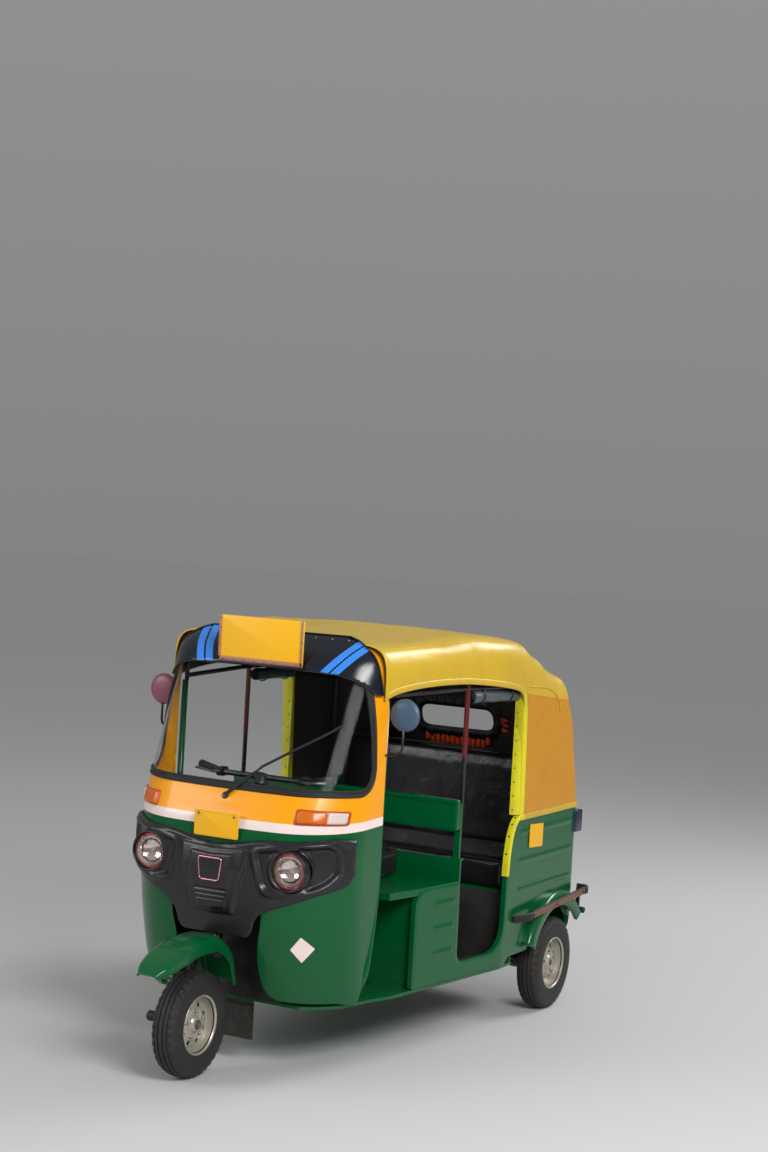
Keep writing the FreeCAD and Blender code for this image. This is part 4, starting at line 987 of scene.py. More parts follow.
for sign in (1, -1):
    loop = []
    for a, b in zip(PIPING, PIPING[1:]):
        loop += on_hood((a[0], sign * 604, a[1]), (b[0], sign * 604, b[1]), 12, 1.5)
    seams.append(tube("piping", loop, 2.4, 8))
finish(join("hood_seams", seams), roof_vinyl, (), sharp=0)

# Black front mask: thick moulded plastic over the apron with a proud brow, sunk side panels, round openings
# for the lamps and a centre block with three slots. A blank badge in a pinkish chromed rim sits on the
# block.
MASK_TOP = [(0, 886), (100, 896), (195, 918), (325, 920), (440, 938)]
MASK_LOW = [(472, 757), (368, 705), (222, 648), (180, 612), (165, 556), (145, 532), (0, 532)]


def bend(points, radius, steps=6):
    # The same path with its corners turned into arcs.
    points = [np.array(p, float) for p in points]
    result = [points[0]]
    for a, b, c in zip(points, points[1:], points[2:]):
        back, on = a - b, c - b
        reach = min(radius, np.linalg.norm(back) * 0.45, np.linalg.norm(on) * 0.45)
        back, on = back / np.linalg.norm(back), on / np.linalg.norm(on)
        for k in range(steps + 1):
            t = k / steps
            result.append(b + back * reach * (1 - t) ** 2 + on * reach * t ** 2)
    return result + [points[-1]]


def rounded_line(line, radius, steps=6):
    # Open line in the plane with its inner corners eased.
    return [(p[0], p[1]) for p in bend([(a, b, 0.0) for a, b in line], radius, steps)]


top_line = to_nose(rounded_line(MASK_TOP, 40))
low_line = to_nose(rounded_line(MASK_LOW, 36))
end_line = [(s_by_x(655, z), z) for z in np.linspace(928, 792, 12)]
mask_half = rounded_line(top_line + end_line + low_line, 6, 3)
mask_loop = dense(whole(mask_half), 5)


def edge_distance(points, loop):
    # Distance to an outline, positive inside it.
    gap = np.linalg.norm(onto(points, [loop]) - points, axis=1)
    return np.where(inside(points, [loop]), gap, -gap)


def mirrored_loop(half):
    # Whole outline on the nose from its left half.
    line = to_nose(half)
    return dense(line + [(-s, z) for s, z in line[::-1] if s > 0.5], 5)


EYE = [(176, 866), (300, 888), (430, 902), (446, 884), (449, 806), (424, 770), (392, 748), (300, 724),
       (216, 730)]
eye = to_nose(round_off(EYE, {0: 24, 2: 12, 3: 10, 4: 14, 5: 14, 6: 16, 7: 20, 8: 30}, 5))
eye_loops = [dense(eye, 4), dense([(-s, z) for s, z in eye[::-1]], 4)]
muzzle_loop = mirrored_loop([(0, 872), (146, 880), (140, 800), (105, 690), (88, 622), (0, 616)])
cheek_loop = mirrored_loop([(0, 846), (92, 852), (98, 800), (76, 700), (60, 640), (0, 634)])


def mask_surface(s, z, w):
    flat = np.stack([s, z], 1)
    proud = np.array(w, float).copy()
    outer = proud > 5
    sunk = np.maximum(edge_distance(flat, eye_loops[0]), edge_distance(flat, eye_loops[1]))
    edge = edge_distance(flat, mask_loop)
    rise = 9 * np.exp(-((sunk + 12) / 9) ** 2) + 6 * np.exp(-((edge - 15) / 9) ** 2) * step_up(z, 800, 870)
    height = np.interp(z, [616, 650, 720, 800, 880], [8, 15, 22, 22, 10])
    rise = np.maximum(rise, step_up(edge_distance(flat, muzzle_loop), -6, 9) * height)
    rise += 6 * step_up(edge_distance(flat, cheek_loop), -3, 5)
    slot = step_up(-np.abs(s), -74, -69)
    for top in (718, 699, 680):
        rise -= slot * 7 * step_up(z, top - 8, top - 5.5) * (1 - step_up(z, top - 2.5, top))
        rise += slot * 1.8 * np.exp(-((z - top - 1.5) / 1.8) ** 2)
    rise -= 11 * step_up(sunk, -3, 8)
    ring = np.hypot(np.abs(s) - s_by_y(316, 810), z - 810)
    rise += 12 * np.exp(-((ring - 80) / 8) ** 2)
    proud[outer] += rise[outer]
    return nose_surface(s, z, proud)


black_moulding = worn("black moulded plastic", tint(24, 22, 27), 0.3, 0.2)
mask = trimmed_sheet("front_mask", mask_surface, [mask_loop] + lamp_rings, 4.5, 14, -0.3, soft_edge=5)
finish(mask, black_moulding, "fascia", sharp=0)


def plate(name, outline, plane, lo, hi, bevel=1.0):
    # Flat outline pulled from lo to hi, its edges eased; plane as side (x, z), plan (x, y) or front (y, z).
    put = {"side": lambda u, v, w: (u, w, v), "plan": lambda u, v, w: (u, v, w),
           "front": lambda u, v, w: (w, u, v)}[plane]
    shape = bmesh.new()
    ring = [shape.verts.new(tuple(c / 1000 for c in put(u, v, lo))) for u, v in outline]
    face = shape.faces.new(ring)
    pulled = bmesh.ops.extrude_face_region(shape, geom=[face])["geom"]
    shift = Vector(put(0, 0, (hi - lo) / 1000))
    bmesh.ops.translate(shape, verts=[v for v in pulled if isinstance(v, bmesh.types.BMVert)], vec=shift)
    bmesh.ops.recalc_face_normals(shape, faces=shape.faces)
    if bevel:
        edges = [e for e in shape.edges if len(e.link_faces) == 2 and e.calc_face_angle() > 0.6]
        bmesh.ops.bevel(shape, geom=edges, offset=bevel / 1000, segments=3, profile=0.5, affect="EDGES",
                        clamp_overlap=True)
    return show_shape(name, shape)


badge_edge = rounded([(-57, 836), (57, 836), (46, 742), (-46, 742)], 12)
badge = plate("badge_blank", badge_edge, "front", 900, 924, 2)
finish(badge, black_moulding)
pink_chrome = worn("pinkish chromed trim", tint(214, 150, 146), 0.18, 0.05, Metallic=0.9)
badge_line = dense(rounded([(-53, 832), (53, 832), (42, 746), (-42, 746)], 12), 4)
badge_rim = tube("badge_rim", [(923, y, z) for y, z in badge_line], 3.2, 10, closed=True)
finish(badge_rim, pink_chrome, sharp=0)

# Headlamps: each a chromed steel bowl with a bulb in it, a red inner ring and a domed lens of fluted glass,
# all clamped in a black moulded bezel over the mask's round opening.
chrome = worn("chromed reflector", tint(225, 222, 220), 0.08, 0.05, Metallic=1.0)
lens_red = worn("red lens ring", tint(222, 74, 66), 0.15, 0.0, Transmission_Weight=0.35)
amber = worn("amber lens", tint(236, 120, 20), 0.12, 0.05, Transmission_Weight=0.35)
frosted = worn("frosted lens", tint(245, 235, 225), 0.15, 0.05, Transmission_Weight=0.35)
lens_glass, tree, surface = shader("fluted lamp glass", Base_Color=(1, 0.93, 0.92, 1), Transmission_Weight=1,
                                   Roughness=0.05, IOR=1.15)
place = add_node(tree, "TexCoord").outputs["Object"]
flutes = add_node(tree, "TexWave", bands_direction="Y", Scale=55, Vector=place)
flute_bump = add_node(tree, "Bump", Strength=0.35, Distance=0.002, Height=flutes.outputs["Fac"])
feed(surface.inputs["Normal"], flute_bump.outputs["Normal"])
LAMP = (0, 316, 810)
bezel = lathe("lamp_bezel",
              [(74, 845), (72.5, 866), (73.5, 870), (76, 871.5), (79, 869), (81, 860), (82, 838)], LAMP,
              (1, 0, 0), 72)
finish(pair("lamp_bezels", bezel), black_moulding, (), sharp=0)
bowl = lathe("lamp_bowl",
             [(8, 806), (20, 808), (40, 816), (56, 830), (65, 846), (69, 860), (70, 862), (71, 848),
              (44, 806), (8, 800)], LAMP, (1, 0, 0), 64)
finish(pair("lamp_bowls", bowl), chrome, "headlamps", sharp=0)
glow = lathe("lamp_ring",
             [(68 + 4.6 * math.cos(a), 860 + 3.0 * math.sin(a)) for a in np.linspace(0, 2 * math.pi, 13)],
             LAMP, (1, 0, 0), 64)
finish(pair("lamp_inner_rings", glow), lens_red, (), sharp=0)
bulb = lathe("lamp_bulb", [(9, 806), (9, 822), (7, 826), (11, 832), (10, 840), (5, 846), (0.1, 848)], LAMP,
             (1, 0, 0), 32)
finish(pair("lamp_bulbs", bulb), frosted, (), sharp=0)
lens = lathe("lamp_lens",
             [(0.1, 881), (28, 879), (50, 874.5), (67, 867), (72, 863), (72, 861), (65, 865), (28, 876.5),
              (0.1, 878.5)], LAMP, (1, 0, 0), 64)
finish(pair("lamp_lenses", lens), lens_glass, (), sharp=0)

# Turn indicators: on each side an orange-red moulded base, fixed to the cowl's lower edge, carries two
# plastic lenses, an amber one towards the middle and a clear one outside it.
lamp_orange = worn("orange-red lamp base", tint(186, 62, 14), 0.25, 0.1)
for name, outline, lift, material in (
        ("indicator_base", [(311, 985), (466, 985), (466, 1037), (311, 1043)], 8, lamp_orange),
        ("indicator_amber", [(318, 991), (408, 991), (408, 1034), (318, 1037)], 14, amber),
        ("indicator_clear", [(411, 991), (459, 991), (459, 1031), (411, 1034)], 14, frosted)):
    shape = dense(to_nose(rounded(outline, 6, 4)), 4)
    piece = trimmed_sheet(name, nose_surface, [shape], 5, lift, -0.3, soft_edge=3)
    finish(pair(name, piece), material, "front_indicators" if name == "indicator_base" else (),
           sharp=0)

# Visor: a stiff cover of navy coated cloth over the head of the screen, with pairs of blue stripes. A
# rubber welt runs round its edge, and a row of steel snaps holds it along the top.
visor_half = [(0.0, 1556.0)]
for z in np.linspace(1556, 1540, 5):
    visor_half.append((s_by_x(640 - 46 * (1556 - z) / 16, z), z))
for z in np.linspace(1536, 1474, 12):
    visor_half.append((s_by_x(520 + 74 * (z - 1472) / 68, z), z))
for z in np.linspace(1474, 1679, 18):
    visor_half.append((s_by_x(497 if z < 1640 else 497 - (z - 1640) * 0.6, z), z))
visor_half.append((0.0, 1679.0))
visor_loop = dense(whole(visor_half), 6)


def visor_surface(s, z, w):
    puff = 2.5 * np.sin(np.clip((z - 1500) / 150, 0, 1) * math.pi)
    return nose_surface(s, z, np.array(w) + np.where(np.array(w) > 13, puff - 2.5, 0))


navy, tree, surface = shader("navy visor cloth with blue stripes", Roughness=0.18)
parts = add_node(tree, "SeparateXYZ", add_node(tree, "TexCoord").outputs["Object"])
bands = None
for y_share, z_share, centre in ((1, -0.8, -0.963), (1, -0.8, -0.918), (-1, -0.4, -0.327),
                                 (-1, -0.4, -0.373)):
    from_z = add_node(tree, "Math", parts.outputs["Z"], z_share, operation="MULTIPLY")
    lean = add_node(tree, "Math", parts.outputs["Y"], y_share, from_z.outputs[0], operation="MULTIPLY_ADD")
    within = add_node(tree, "Math", lean.outputs[0], centre, 0.018, operation="COMPARE")
    if bands is None:
        bands = within
    else:
        bands = add_node(tree, "Math", bands.outputs[0], within.outputs[0], operation="MAXIMUM")
grain = add_node(tree, "Group", node_tree=vinyl_grain)
mix = add_node(tree, "Mix", data_type="RGBA", A=tint(10, 16, 30), B=tint(52, 132, 226),
               Factor=bands.outputs[0])
feed(surface.inputs["Base Color"], mix.outputs["Result"])
feed(surface.inputs["Normal"], grain.outputs["Normal"])
visor = trimmed_sheet("visor_cover", visor_surface, [visor_loop], 8, 16, 12, soft_edge=1)
finish(visor, navy, "visor", sharp=0)
brim = nose_surface(visor_loop[:, 0], visor_loop[:, 1], np.full(len(visor_loop), 14.5))
finish(tube("visor_welt", brim, 3.0, 8, closed=True), black_rubber, sharp=0)
snaps = []
for s in np.linspace(-319, 319, 10):
    at_stud, off_stud = nose_surface(np.array([s, s]), np.array([1664.0, 1664.0]), np.array([14.0, 20.0]))
    snaps.append(lathe("snap", [(5.5, 0), (5.5, 2), (3.5, 3.6), (0.1, 4.2)], at_stud, off_stud - at_stud,
                       14))
finish(join("visor_snaps", snaps), bare_steel, sharp=0)

# Sign board: a blank yellow sheet standing on a black steel ledge in front of the visor. Pink-brown steel
# angles are riveted along its lower edge and both its ends, and two stays hold it to the nose.
sign_paint = worn("sign enamel", tint(240, 178, 4), 0.4, 0.1)
SIGN_Y, SIGN_Z = (-195, 190), (1566, 1743)
sign = plate("sign_sheet", rounded(corners(*SIGN_Y, *SIGN_Z), 8, 4), "front", 624, 634, 2)
finish(sign, sign_paint, "sign_board")
angle_paint = worn("pink-brown angle paint", tint(168, 112, 88), 0.4, 0.3)


def block(name, x, y, z, bevel):
    return plate(name, corners(*x, *y), "plan", *z, bevel)


angles = [block("angle", (634, 638), SIGN_Y, (1562, 1580), 1),
          block("angle", (624, 638), SIGN_Y, (1562, 1566), 1)]
rivets = []
for side in (-195, 181):
    angles.append(block("angle", (634, 638), (side, side + 9), SIGN_Z, 1))
    rivets += [(side + 4.5, z) for z in np.linspace(1590, 1730, 5)]
rivets += [(y, 1571) for y in np.linspace(-170, 165, 8)]
heads = [lathe("rivet", [(0.1, 2.4), (2, 2), (3.2, 0.8), (3.6, 0)], (638, y, z), (1, 0, 0), 10)
         for y, z in rivets]
finish(join("sign_border", angles), angle_paint)
finish(join("sign_rivets", heads), bare_steel, sharp=0)
black_enamel = worn("black enamel", tint(26, 26, 28), 0.3, 0.3, height=0.6)
ledge = block("sign_ledge", (598, 646), (-190, 185), (1556, 1565), 1.5)
stays = pair("sign_stays", block("sign_stay", (566, 624), (140, 152), (1628, 1640), 1))
finish(join("sign_fixings", [ledge, stays]), black_enamel)

# Front plate: a blank pressed sheet in yellow enamel with a raised bead along its edge, held by two screws
# to a steel arm on the nose.
plate_yellow = worn("yellow plate enamel", tint(236, 174, 6), 0.4, 0.1)
number = plate("front_plate_blank", rounded(corners(-100, 100, 906, 1006), 8, 4), "front", 888, 891, 0.8)
edge = tube("plate_bead", [(891, y, z) for y, z in dense(rounded(corners(-94, 94, 912, 1000), 8), 6)], 1.6,
            6, closed=True)
screws = [lathe("plate_screw", [(0.1, 895), (4, 894.5), (6, 892), (6, 890)], (0, y, 992), (1, 0, 0), 16)
          for y in (-80, 80)]
arm = block("plate_arm", (852, 888), (-60, 60), (926, 986), 2)
finish(join("front_plate_sheet", [number, edge]), plate_yellow, "front_plate")
finish(join("front_plate_screws", screws + [arm]), bare_steel)

# Side shell: one pressed green sheet from the tail round the wheel arch, along the entry sill and up over
# the seat box, with three rolled beads on each part, closed behind by the plain tail. Two ears carry the
# lid's hinge.
REAR_AXLE, HUB_Z, ARCH = -1000, 205, 262
# The flat tail's half width, its corners' radius, where the sides start, and the way round to there.
TAIL_FLAT, TAIL_TURN, SIDE_REAR, TURN_END = 545, 55, -1188, 631.4


def side_y(x):
    return 490 + 110 * np.clip((455 - np.asarray(x, float)) / 935, 0, 1)


def shell_bare(s, z, w):
    a = np.abs(s)
    turn = TAIL_FLAT + TAIL_TURN * math.pi / 2
    on_turn = np.clip((a - TAIL_FLAT) / TAIL_TURN, 0, math.pi / 2)
    x_side = SIDE_REAR + (a - turn)
    x = np.where(a < turn, SIDE_REAR - TAIL_TURN * np.cos(on_turn), x_side)
    y = np.where(a < turn, TAIL_FLAT + TAIL_TURN * np.sin(on_turn), side_y(x_side))
    y = np.where(a < TAIL_FLAT, a, y)
    nx = np.where(a < turn, -np.cos(on_turn), 0)
    ny = np.where(a < turn, np.sin(on_turn), 1)
    return np.stack([x + nx * w, np.sign(s + 1e-12) * (y + ny * w), z + 0 * x], 1)


def shell_surface(s, z, w):
    w = np.array(w, float)
    x = SIDE_REAR + (np.abs(s) - TURN_END)
    bead = np.zeros_like(w)
    for low in (578, 705, 830):
        bead += 4.5 * np.exp(-((z - low) / 5.5) ** 2) * step_up(
            x, -1185, -1150) * (1 - step_up(x, -640, -600))
    for low in (400, 500, 600):
        bead += 6 * np.exp(-((z - low) / 6) ** 2) * step_up(x, -100, -85) * (1 - step_up(x, 36, 51))
    return shell_bare(s, z, w + np.where(w > -5, bead, 0))


def shell_s(x):
    return TURN_END + x - SIDE_REAR


def arch_low(s):
    # Lower edge of the sheet: the wheel arch, or the straight bottom flange.
    x = shell_bare(np.array([s]), np.array([400.0]), 0)[0, 0]
    reach = ARCH ** 2 - (x - REAR_AXLE) ** 2
    return max(300.0 if x < -500 else 270.0, HUB_Z + math.sqrt(reach) if reach > 0 else 0)


LEAD = [(-500, 640), (-508, 755), (-526, 826), (-552, 873), (-580, 897), (-604, 905)]
outline = [(0.0, 905.0), (shell_s(-604), 905.0)]
outline += [(shell_s(x), z) for x, z in LEAD[::-1][1:]]
outline += [(shell_s(-497), 560), (shell_s(-495), 458)]
for k in range(1, 13):
    a = math.pi / 2 * k / 12
    outline.append((shell_s(-375 - 120 * math.cos(a)), 458 - 120 * math.sin(a)))
outline.append((shell_s(-178), 338))
for k in range(1, 9):
    a = math.pi / 2 * k / 8
    outline.append((shell_s(-178 + 40 * math.sin(a)), 378 - 40 * math.cos(a)))
outline += [(shell_s(-136), 520), (shell_s(-132), 676), (shell_s(110), 676)]
for k in range(1, 10):
    a = math.pi / 2 * k / 9
    outline.append((shell_s(110 + 75 * math.sin(a)), 601 + 75 * math.cos(a)))
outline += [(shell_s(185), 272), (shell_s(-520), 272)]
outline += [(s, arch_low(s)) for s in np.linspace(shell_s(-560), 0, 150)]
shell_loop = dense(whole(outline), 8)
lid_hole = dense(rounded(corners(-404, 404, 421, 694), 14), 8)
shell = trimmed_sheet("side_and_tail_shell", shell_surface, [shell_loop, lid_hole], 9, 0, -22, soft_edge=2.5)
finish(shell, green_enamel, ("rear_sides", "back_panel", "side_panels", "entry_sills"),
       sharp=50)
ears = []
for y in (-270, 270):
    ears.append(plate("hinge_ear",
                      [(-1264, 692), (-1246, 692), (-1243, 738), (-1247, 738), (-1249, 708), (-1264, 706)],
                      "side", y - 8, y + 8, 1.2))
finish(join("lid_hinge_ears", ears), black_enamel)

# Edge trim on the front of each rear panel: a strip of bright yellow vinyl bent over the sheet's edge and
# held by small black studs.
trim_path = [(x + 2, float(side_y(x)) - 12, z) for x, z in LEAD]
trim_path = bend([(trim_path[0][0], trim_path[0][1], 655)] + trim_path[1:-1] + [(-612, 588, 907)], 30, 5)
strip_rings = []
for i, p in enumerate(trim_path):
    run = trim_path[min(i + 1, len(trim_path) - 1)] - trim_path[max(i - 1, 0)]
    out = np.array([-run[2], 0, run[0]]) / -np.linalg.norm(run)
    for dy, d in ((14.5, -14), (14.5, 2), (12, 4.5), (-12, 4.5), (-14.5, 2), (-14.5, -14)):
        strip_rings.append(p + out * d + np.array([0, dy, 0]))
edge_trim = add_mesh("panel_edge_trim", strip_rings, net_faces(len(trim_path), 6, back=True))
finish(pair("panel_edge_trims", edge_trim), hem_vinyl, (), sharp=40)
studs = []
for i in range(3, len(trim_path) - 2, 6):
    p = trim_path[i]
    run = trim_path[i + 1] - trim_path[i - 1]
    out = np.array([-run[2], 0, run[0]]) / -np.linalg.norm(run)
    studs.append(lathe("trim_stud", [(0.1, 7.5), (3, 7), (4.5, 5), (4.5, 3)], p, out, 12))
finish(pair("panel_trim_studs", join("studs", studs)), black_enamel, sharp=0)

# Blank markings: a thin enamelled plate on each rear panel and a white diamond transfer stuck to the left
# of the apron.
side_plate = trimmed_sheet("side_plate_blank", shell_bare, [dense(rounded(
    [(shell_s(-838), 748), (shell_s(-700), 756), (shell_s(-700), 858), (shell_s(-838), 850)], 5), 6)],
    8, 5.5, 3.0)
finish(pair("side_plates_blank", side_plate), plate_yellow, ())
DIAMOND = [(351, 555), (392, 511), (349, 454), (313, 504)]
decal = trimmed_sheet("diamond_transfer_blank", nose_surface, [dense(to_nose(DIAMOND), 3)], 4, 0.7, -0.5)
finish(decal, white_enamel)

# Curtain sleeves: bright binding vinyl wrapped round three sides of the third bow's legs and sewn to the
# front edge of each quarter.
sleeve_line = [(-574, 1436), (-580, 1340), (-585, 1250), (-591, 1150), (-596, 1050), (-599, 960),
               (-601, 908)]
rings = []
for x, z in sleeve_line:
    for dx, dy in ((-16, 603), (2, 603.5), (5.5, 601), (6, 596), (5, 562), (2, 558), (-16, 557)):
        rings.append((x + dx, dy, z))
sleeve = add_mesh("curtain_sleeve", rings, net_faces(len(sleeve_line), 7))
finish(pair("curtain_sleeves", sleeve), hem_vinyl, (), sharp=0)

# Rear fenders: rolled steel sheet over each wheel with a rounded outer corner and a turned-in lip,
# enamelled green and welded to the side shell. A wire is rolled into each end.
section = [(300, 597), (324, 598), (324, 612)]
section += [(300 + 24 * math.cos(a), 614 + 24 * math.sin(a)) for a in np.linspace(0, math.pi / 2, 8)[1:]]
section += [(280, 638), (266, 637), (262, 634), (262, 626), (265, 625)]
fender = lathe("fender_sheet", section, (REAR_AXLE, 0, HUB_Z), (0, 1, 0), 60, -math.radians(23),
               -math.radians(117))
beads = []
for a0 in (-23, -140):
    a = math.radians(a0)
    line = [(REAR_AXLE + r * math.cos(a), y, HUB_Z - r * math.sin(a)) for r, y in section[1:-2]]
    beads.append(tube("fender_end", line, 3.2, 8))
fender_all = pair("rear_fender_sheets", fender)
thicken(fender_all, 3, 0)
finish(fender_all, green_enamel, "rear_fenders", sharp=40)
finish(pair("fender_end_beads", join("ends", beads)), green_enamel, sharp=0)


# Side guards: a flat bronze-coloured steel bar bent round each fender, with black rubber ends and a rubber
# lip, bolted to black stays. A tube bumper with rubber caps crosses the tail behind them on two arms.
def strap(name, path, thick, tall, ease=2.0):
    # Flat bar on edge along a path, its corners eased.
    path = [np.array(p, float) for p in path]
    rings = []
    section = [(thick / 2, tall / 2 - ease), (thick / 2 - ease, tall / 2), (-thick / 2 + ease, tall / 2),
               (-thick / 2, tall / 2 - ease)]
    section += [(-a, -b) for a, b in section]
    for i, p in enumerate(path):
        run = path[min(i + 1, len(path) - 1)] - path[max(i - 1, 0)]
        out = np.array([-run[1], run[0], 0]) / np.linalg.norm(run[:2])
        for a, b in section:
            rings.append(p + out * a + np.array([0, 0, b]))
    n, m = len(path), len(section)
    faces = net_faces(n, m, ring=True)
    faces += [tuple(range(m))[::-1], tuple(range((n - 1) * m, n * m))]
    return add_mesh(name, rings, faces)


def guard_z(x):
    # The bar rises a little towards the tail.
    return 459 + (-560 - x) * 44 / 760


bronze = worn("worn bronze-coloured bar", tint(126, 88, 62), 0.35, 0.35, Metallic=0.6)
guard_plan = bend([(-580, 606, 0), (-638, 647.5, 0), (-1287, 647.5, 0), (-1305.5, 629, 0),
                   (-1305.5, 585, 0)], 30, 6)
guard_path = [np.array([p[0], p[1], guard_z(p[0])]) for p in guard_plan]
fine_path = [guard_path[0]]
for a, b in zip(guard_path, guard_path[1:]):
    parts_count = max(1, int(np.linalg.norm(b - a) / 20))
    fine_path += [a + (b - a) * (k + 1) / parts_count for k in range(parts_count)]
middle_bar = [p for p in fine_path if -1262 < p[0] < -668]
front_end = [p for p in fine_path if p[0] > -700]
rear_end = [p for p in fine_path if p[0] < -1240]
finish(pair("guard_bars", strap("guard_bar", middle_bar, 4.4, 28)), bronze, "side_guards")
rubber_ends = [strap("guard_rubber", front_end, 10, 34, 4), strap("guard_rubber", rear_end, 9, 34, 4)]
rubber_ends.append(strap("guard_lip", [p + np.array([0, -1, 17]) for p in middle_bar], 9, 8, 3))
finish(pair("guard_rubbers", join("rubbers", rubber_ends)), black_rubber, (), sharp=40)
stays = [block("guard_stay", (-960, -920), (638, 646), (470, 490), 2),
         block("guard_foot", (-600, -574), (600, 606), (446, 474), 2)]
stays.append(block("guard_end", (-1308, -1296), (585, 604), (408, 500), 2))
stays += [lathe("guard_bolt", [(0.1, 653), (5, 652.5), (8, 650), (8, 648)],
                (x, 0, guard_z(x)), (0, 1, 0), 12) for x in (-940, -700, -1230)]
finish(pair("guard_stays", join("stays", stays)), black_enamel)
BUMPER_X, BUMPER_Z = -1303.5, 400
bar = tube("bumper_tube", [(BUMPER_X, y, BUMPER_Z) for y in np.linspace(-628, 628, 30)], 13.8, 24)
caps = [lathe("bumper_cap", [(14, 0), (13.8, 1.5), (8, 4.6), (0.1, 5.5)],
              (BUMPER_X, sign * 626, BUMPER_Z), (0, sign, 0), 24) for sign in (-1, 1)]
arms = [block("bumper_arm", (-1304, -1243), (sign * 442 - 12, sign * 442 + 12), (388, 412), 3)
        for sign in (-1, 1)]
finish(join("rear_bumper_tube", [bar] + arms), black_enamel, "rear_bumper")
finish(join("bumper_end_caps", caps), black_rubber, sharp=0)

# Tail lamps: a smoky plastic housing wrapped round each rear corner of the shell, with a red, an amber and
# a clear lens one above the other facing back.
housing = plate("tail_lamp_housing",
                round_off([(-1243.5, 505), (-1272, 510), (-1275, 596), (-1252, 613), (-1190, 611),
                           (-1181, 600.5), (-1192, 600.5), (-1225, 590)], {1: 8, 2: 26, 3: 20, 4: 6}, 5),
                "plan", 772, 866, 3)
smoke = worn("smoky blue plastic", tint(28, 40, 62), 0.16, 0.15)
finish(pair("tail_lamp_housings", housing), smoke, "tail_lamps", sharp=40)
for name, z0, z1, material in (("tail_lens_red", 778, 806, lens_red), ("tail_lens_amber", 808, 834, amber),
                               ("tail_lens_clear", 836, 860, frosted)):
    piece = plate(name, corners(515, 588, z0, z1), "front", -1277.5, -1270, 2)
    finish(pair(name, piece), material, ())

# Engine lid: a pressed green sheet over the opening in the tail, with a rolled field and two columns of
# louvres. It has a bent wire handle, and turns on a tube hinge along its top.
lid_field = dense(rounded(corners(-360, 360, 462, 660), 30), 8)
lid_edge = dense(rounded(corners(-400, 400, 425, 690), 12), 8)


def lid_surface(u, v, w):
    groove = edge_distance(np.stack([u, v], 1), lid_field)
    depth = 3 * np.exp(-(groove / 6) ** 2) - 2 * step_up(groove, 4, 14)
    return np.stack([-1241 - w + np.where(np.array(w) > 0, depth, 0), u, v], 1)


lid = trimmed_sheet("engine_lid_sheet", lid_surface, [lid_edge], 8, 2, -2, soft_edge=1)
lid.data.flip_normals()
louvres = []
for row in range(4):
    for sign in (-1, 1):
        z = 485 + row * 24
        shape = [(-1242, z), (-1247, z - 4), (-1251, z - 12), (-1250, z - 14), (-1242, z - 14)]
        louvres.append(plate("louvre", shape, "side", *sorted((sign * 170, sign * 350)), 1))
grip = tube("lid_handle",
            bend([(-1243, -55, 460), (-1264, -55, 460), (-1264, 55, 460), (-1243, 55, 460)], 12), 5, 12)
pin = tube("lid_pin", [(-1255, y, 698) for y in (-280, 0, 280)], 6, 16)
flap = block("lid_hinge_leaf", (-1253, -1242), (-250, 250), (664, 698), 2)
finish(join("engine_lid_panel", [lid, flap] + louvres), green_enamel, "engine_lid",
       body="rear_lid")
finish(join("engine_lid_fittings", [grip, pin]), black_enamel, sharp=40, body="rear_lid")

# Wheels: ribbed cross-ply tyres on pressed steel rims in a cream-silver enamel. Five nuts hold each dish to
# its hub, and a cast brake drum sits behind it.
rubber, tree, surface = shader("tyre rubber")
group = add_node(tree, "Group", node_tree=wear, Colour=tint(24, 24, 26), Dust_colour=tint(92, 80, 66),
                 Dust=0.55, Dust_height=0.5, Gloss=0.6)
fine_grain = add_node(tree, "TexNoise", Scale=260.0, Detail=3.0)
rubber_bump = add_node(tree, "Bump", Strength=0.25, Distance=0.001, Height=fine_grain.outputs["Fac"])
feed(surface.inputs["Base Color"], group.outputs["Colour"])
feed(surface.inputs["Roughness"], group.outputs["Roughness"])
feed(surface.inputs["Normal"], rubber_bump.outputs["Normal"])
cast_metal = worn("rough cast metal", tint(88, 86, 82), 0.6, 0.5, ripple=0.2, Metallic=0.7)
rim_enamel = worn("cream-silver wheel enamel", tint(178, 173, 160), 0.3, 0.35, height=0.45, Metallic=0.55)


def tyre_profile():
    half = [(103.5, 37), (106, 43), (112, 46), (122, 49), (136, 51.3), (150, 52), (164, 51.4), (176, 49),
            (184, 46.5), (190, 43.5)]
    tread = []
    for y in np.linspace(41.5, 0, 40):
        crown = 205 - 9.5 * (y / 42) ** 2.2
        groove = 5.5 * (abs(y - 11) < 2.6) + 5.0 * (abs(y - 27) < 2.0)
        tread.append((crown - groove, y))
    half = half + tread
    return half + [(r, -y) for r, y in half[::-1][1:]]


def make_tyre(name, centre):
    steps = 216
    thing = lathe(name, tyre_profile(), centre, (0, 1, 0), steps)
    co = np.array([v.co for v in thing.data.vertices]) * 1000
    turn = np.arctan2(co[:, 2] - centre[2], co[:, 0] - centre[0])
    reach = np.hypot(co[:, 2] - centre[2], co[:, 0] - centre[0])
    y = co[:, 1] - centre[1]
    k = np.round((turn / (2 * math.pi) * steps)).astype(int)
    band = (np.abs(y) > 29.5) & (np.abs(y) < 44) & (reach > 183)
    notch = band & (np.mod(k + (y > 0) * 3, 6) < 2)
    zig = (np.abs(y) < 8) & (np.mod(k + np.round(y / 3).astype(int), 9) < 1) & (reach > 195)
    cut = np.where(notch, 4.5, 0) + np.where(zig, 3.0, 0)
    co[:, 0] -= np.cos(turn) * cut
    co[:, 2] -= np.sin(turn) * cut
    thing.data.vertices.foreach_set("co", (co / 1000).ravel())
    thing.data.update()
    return thing


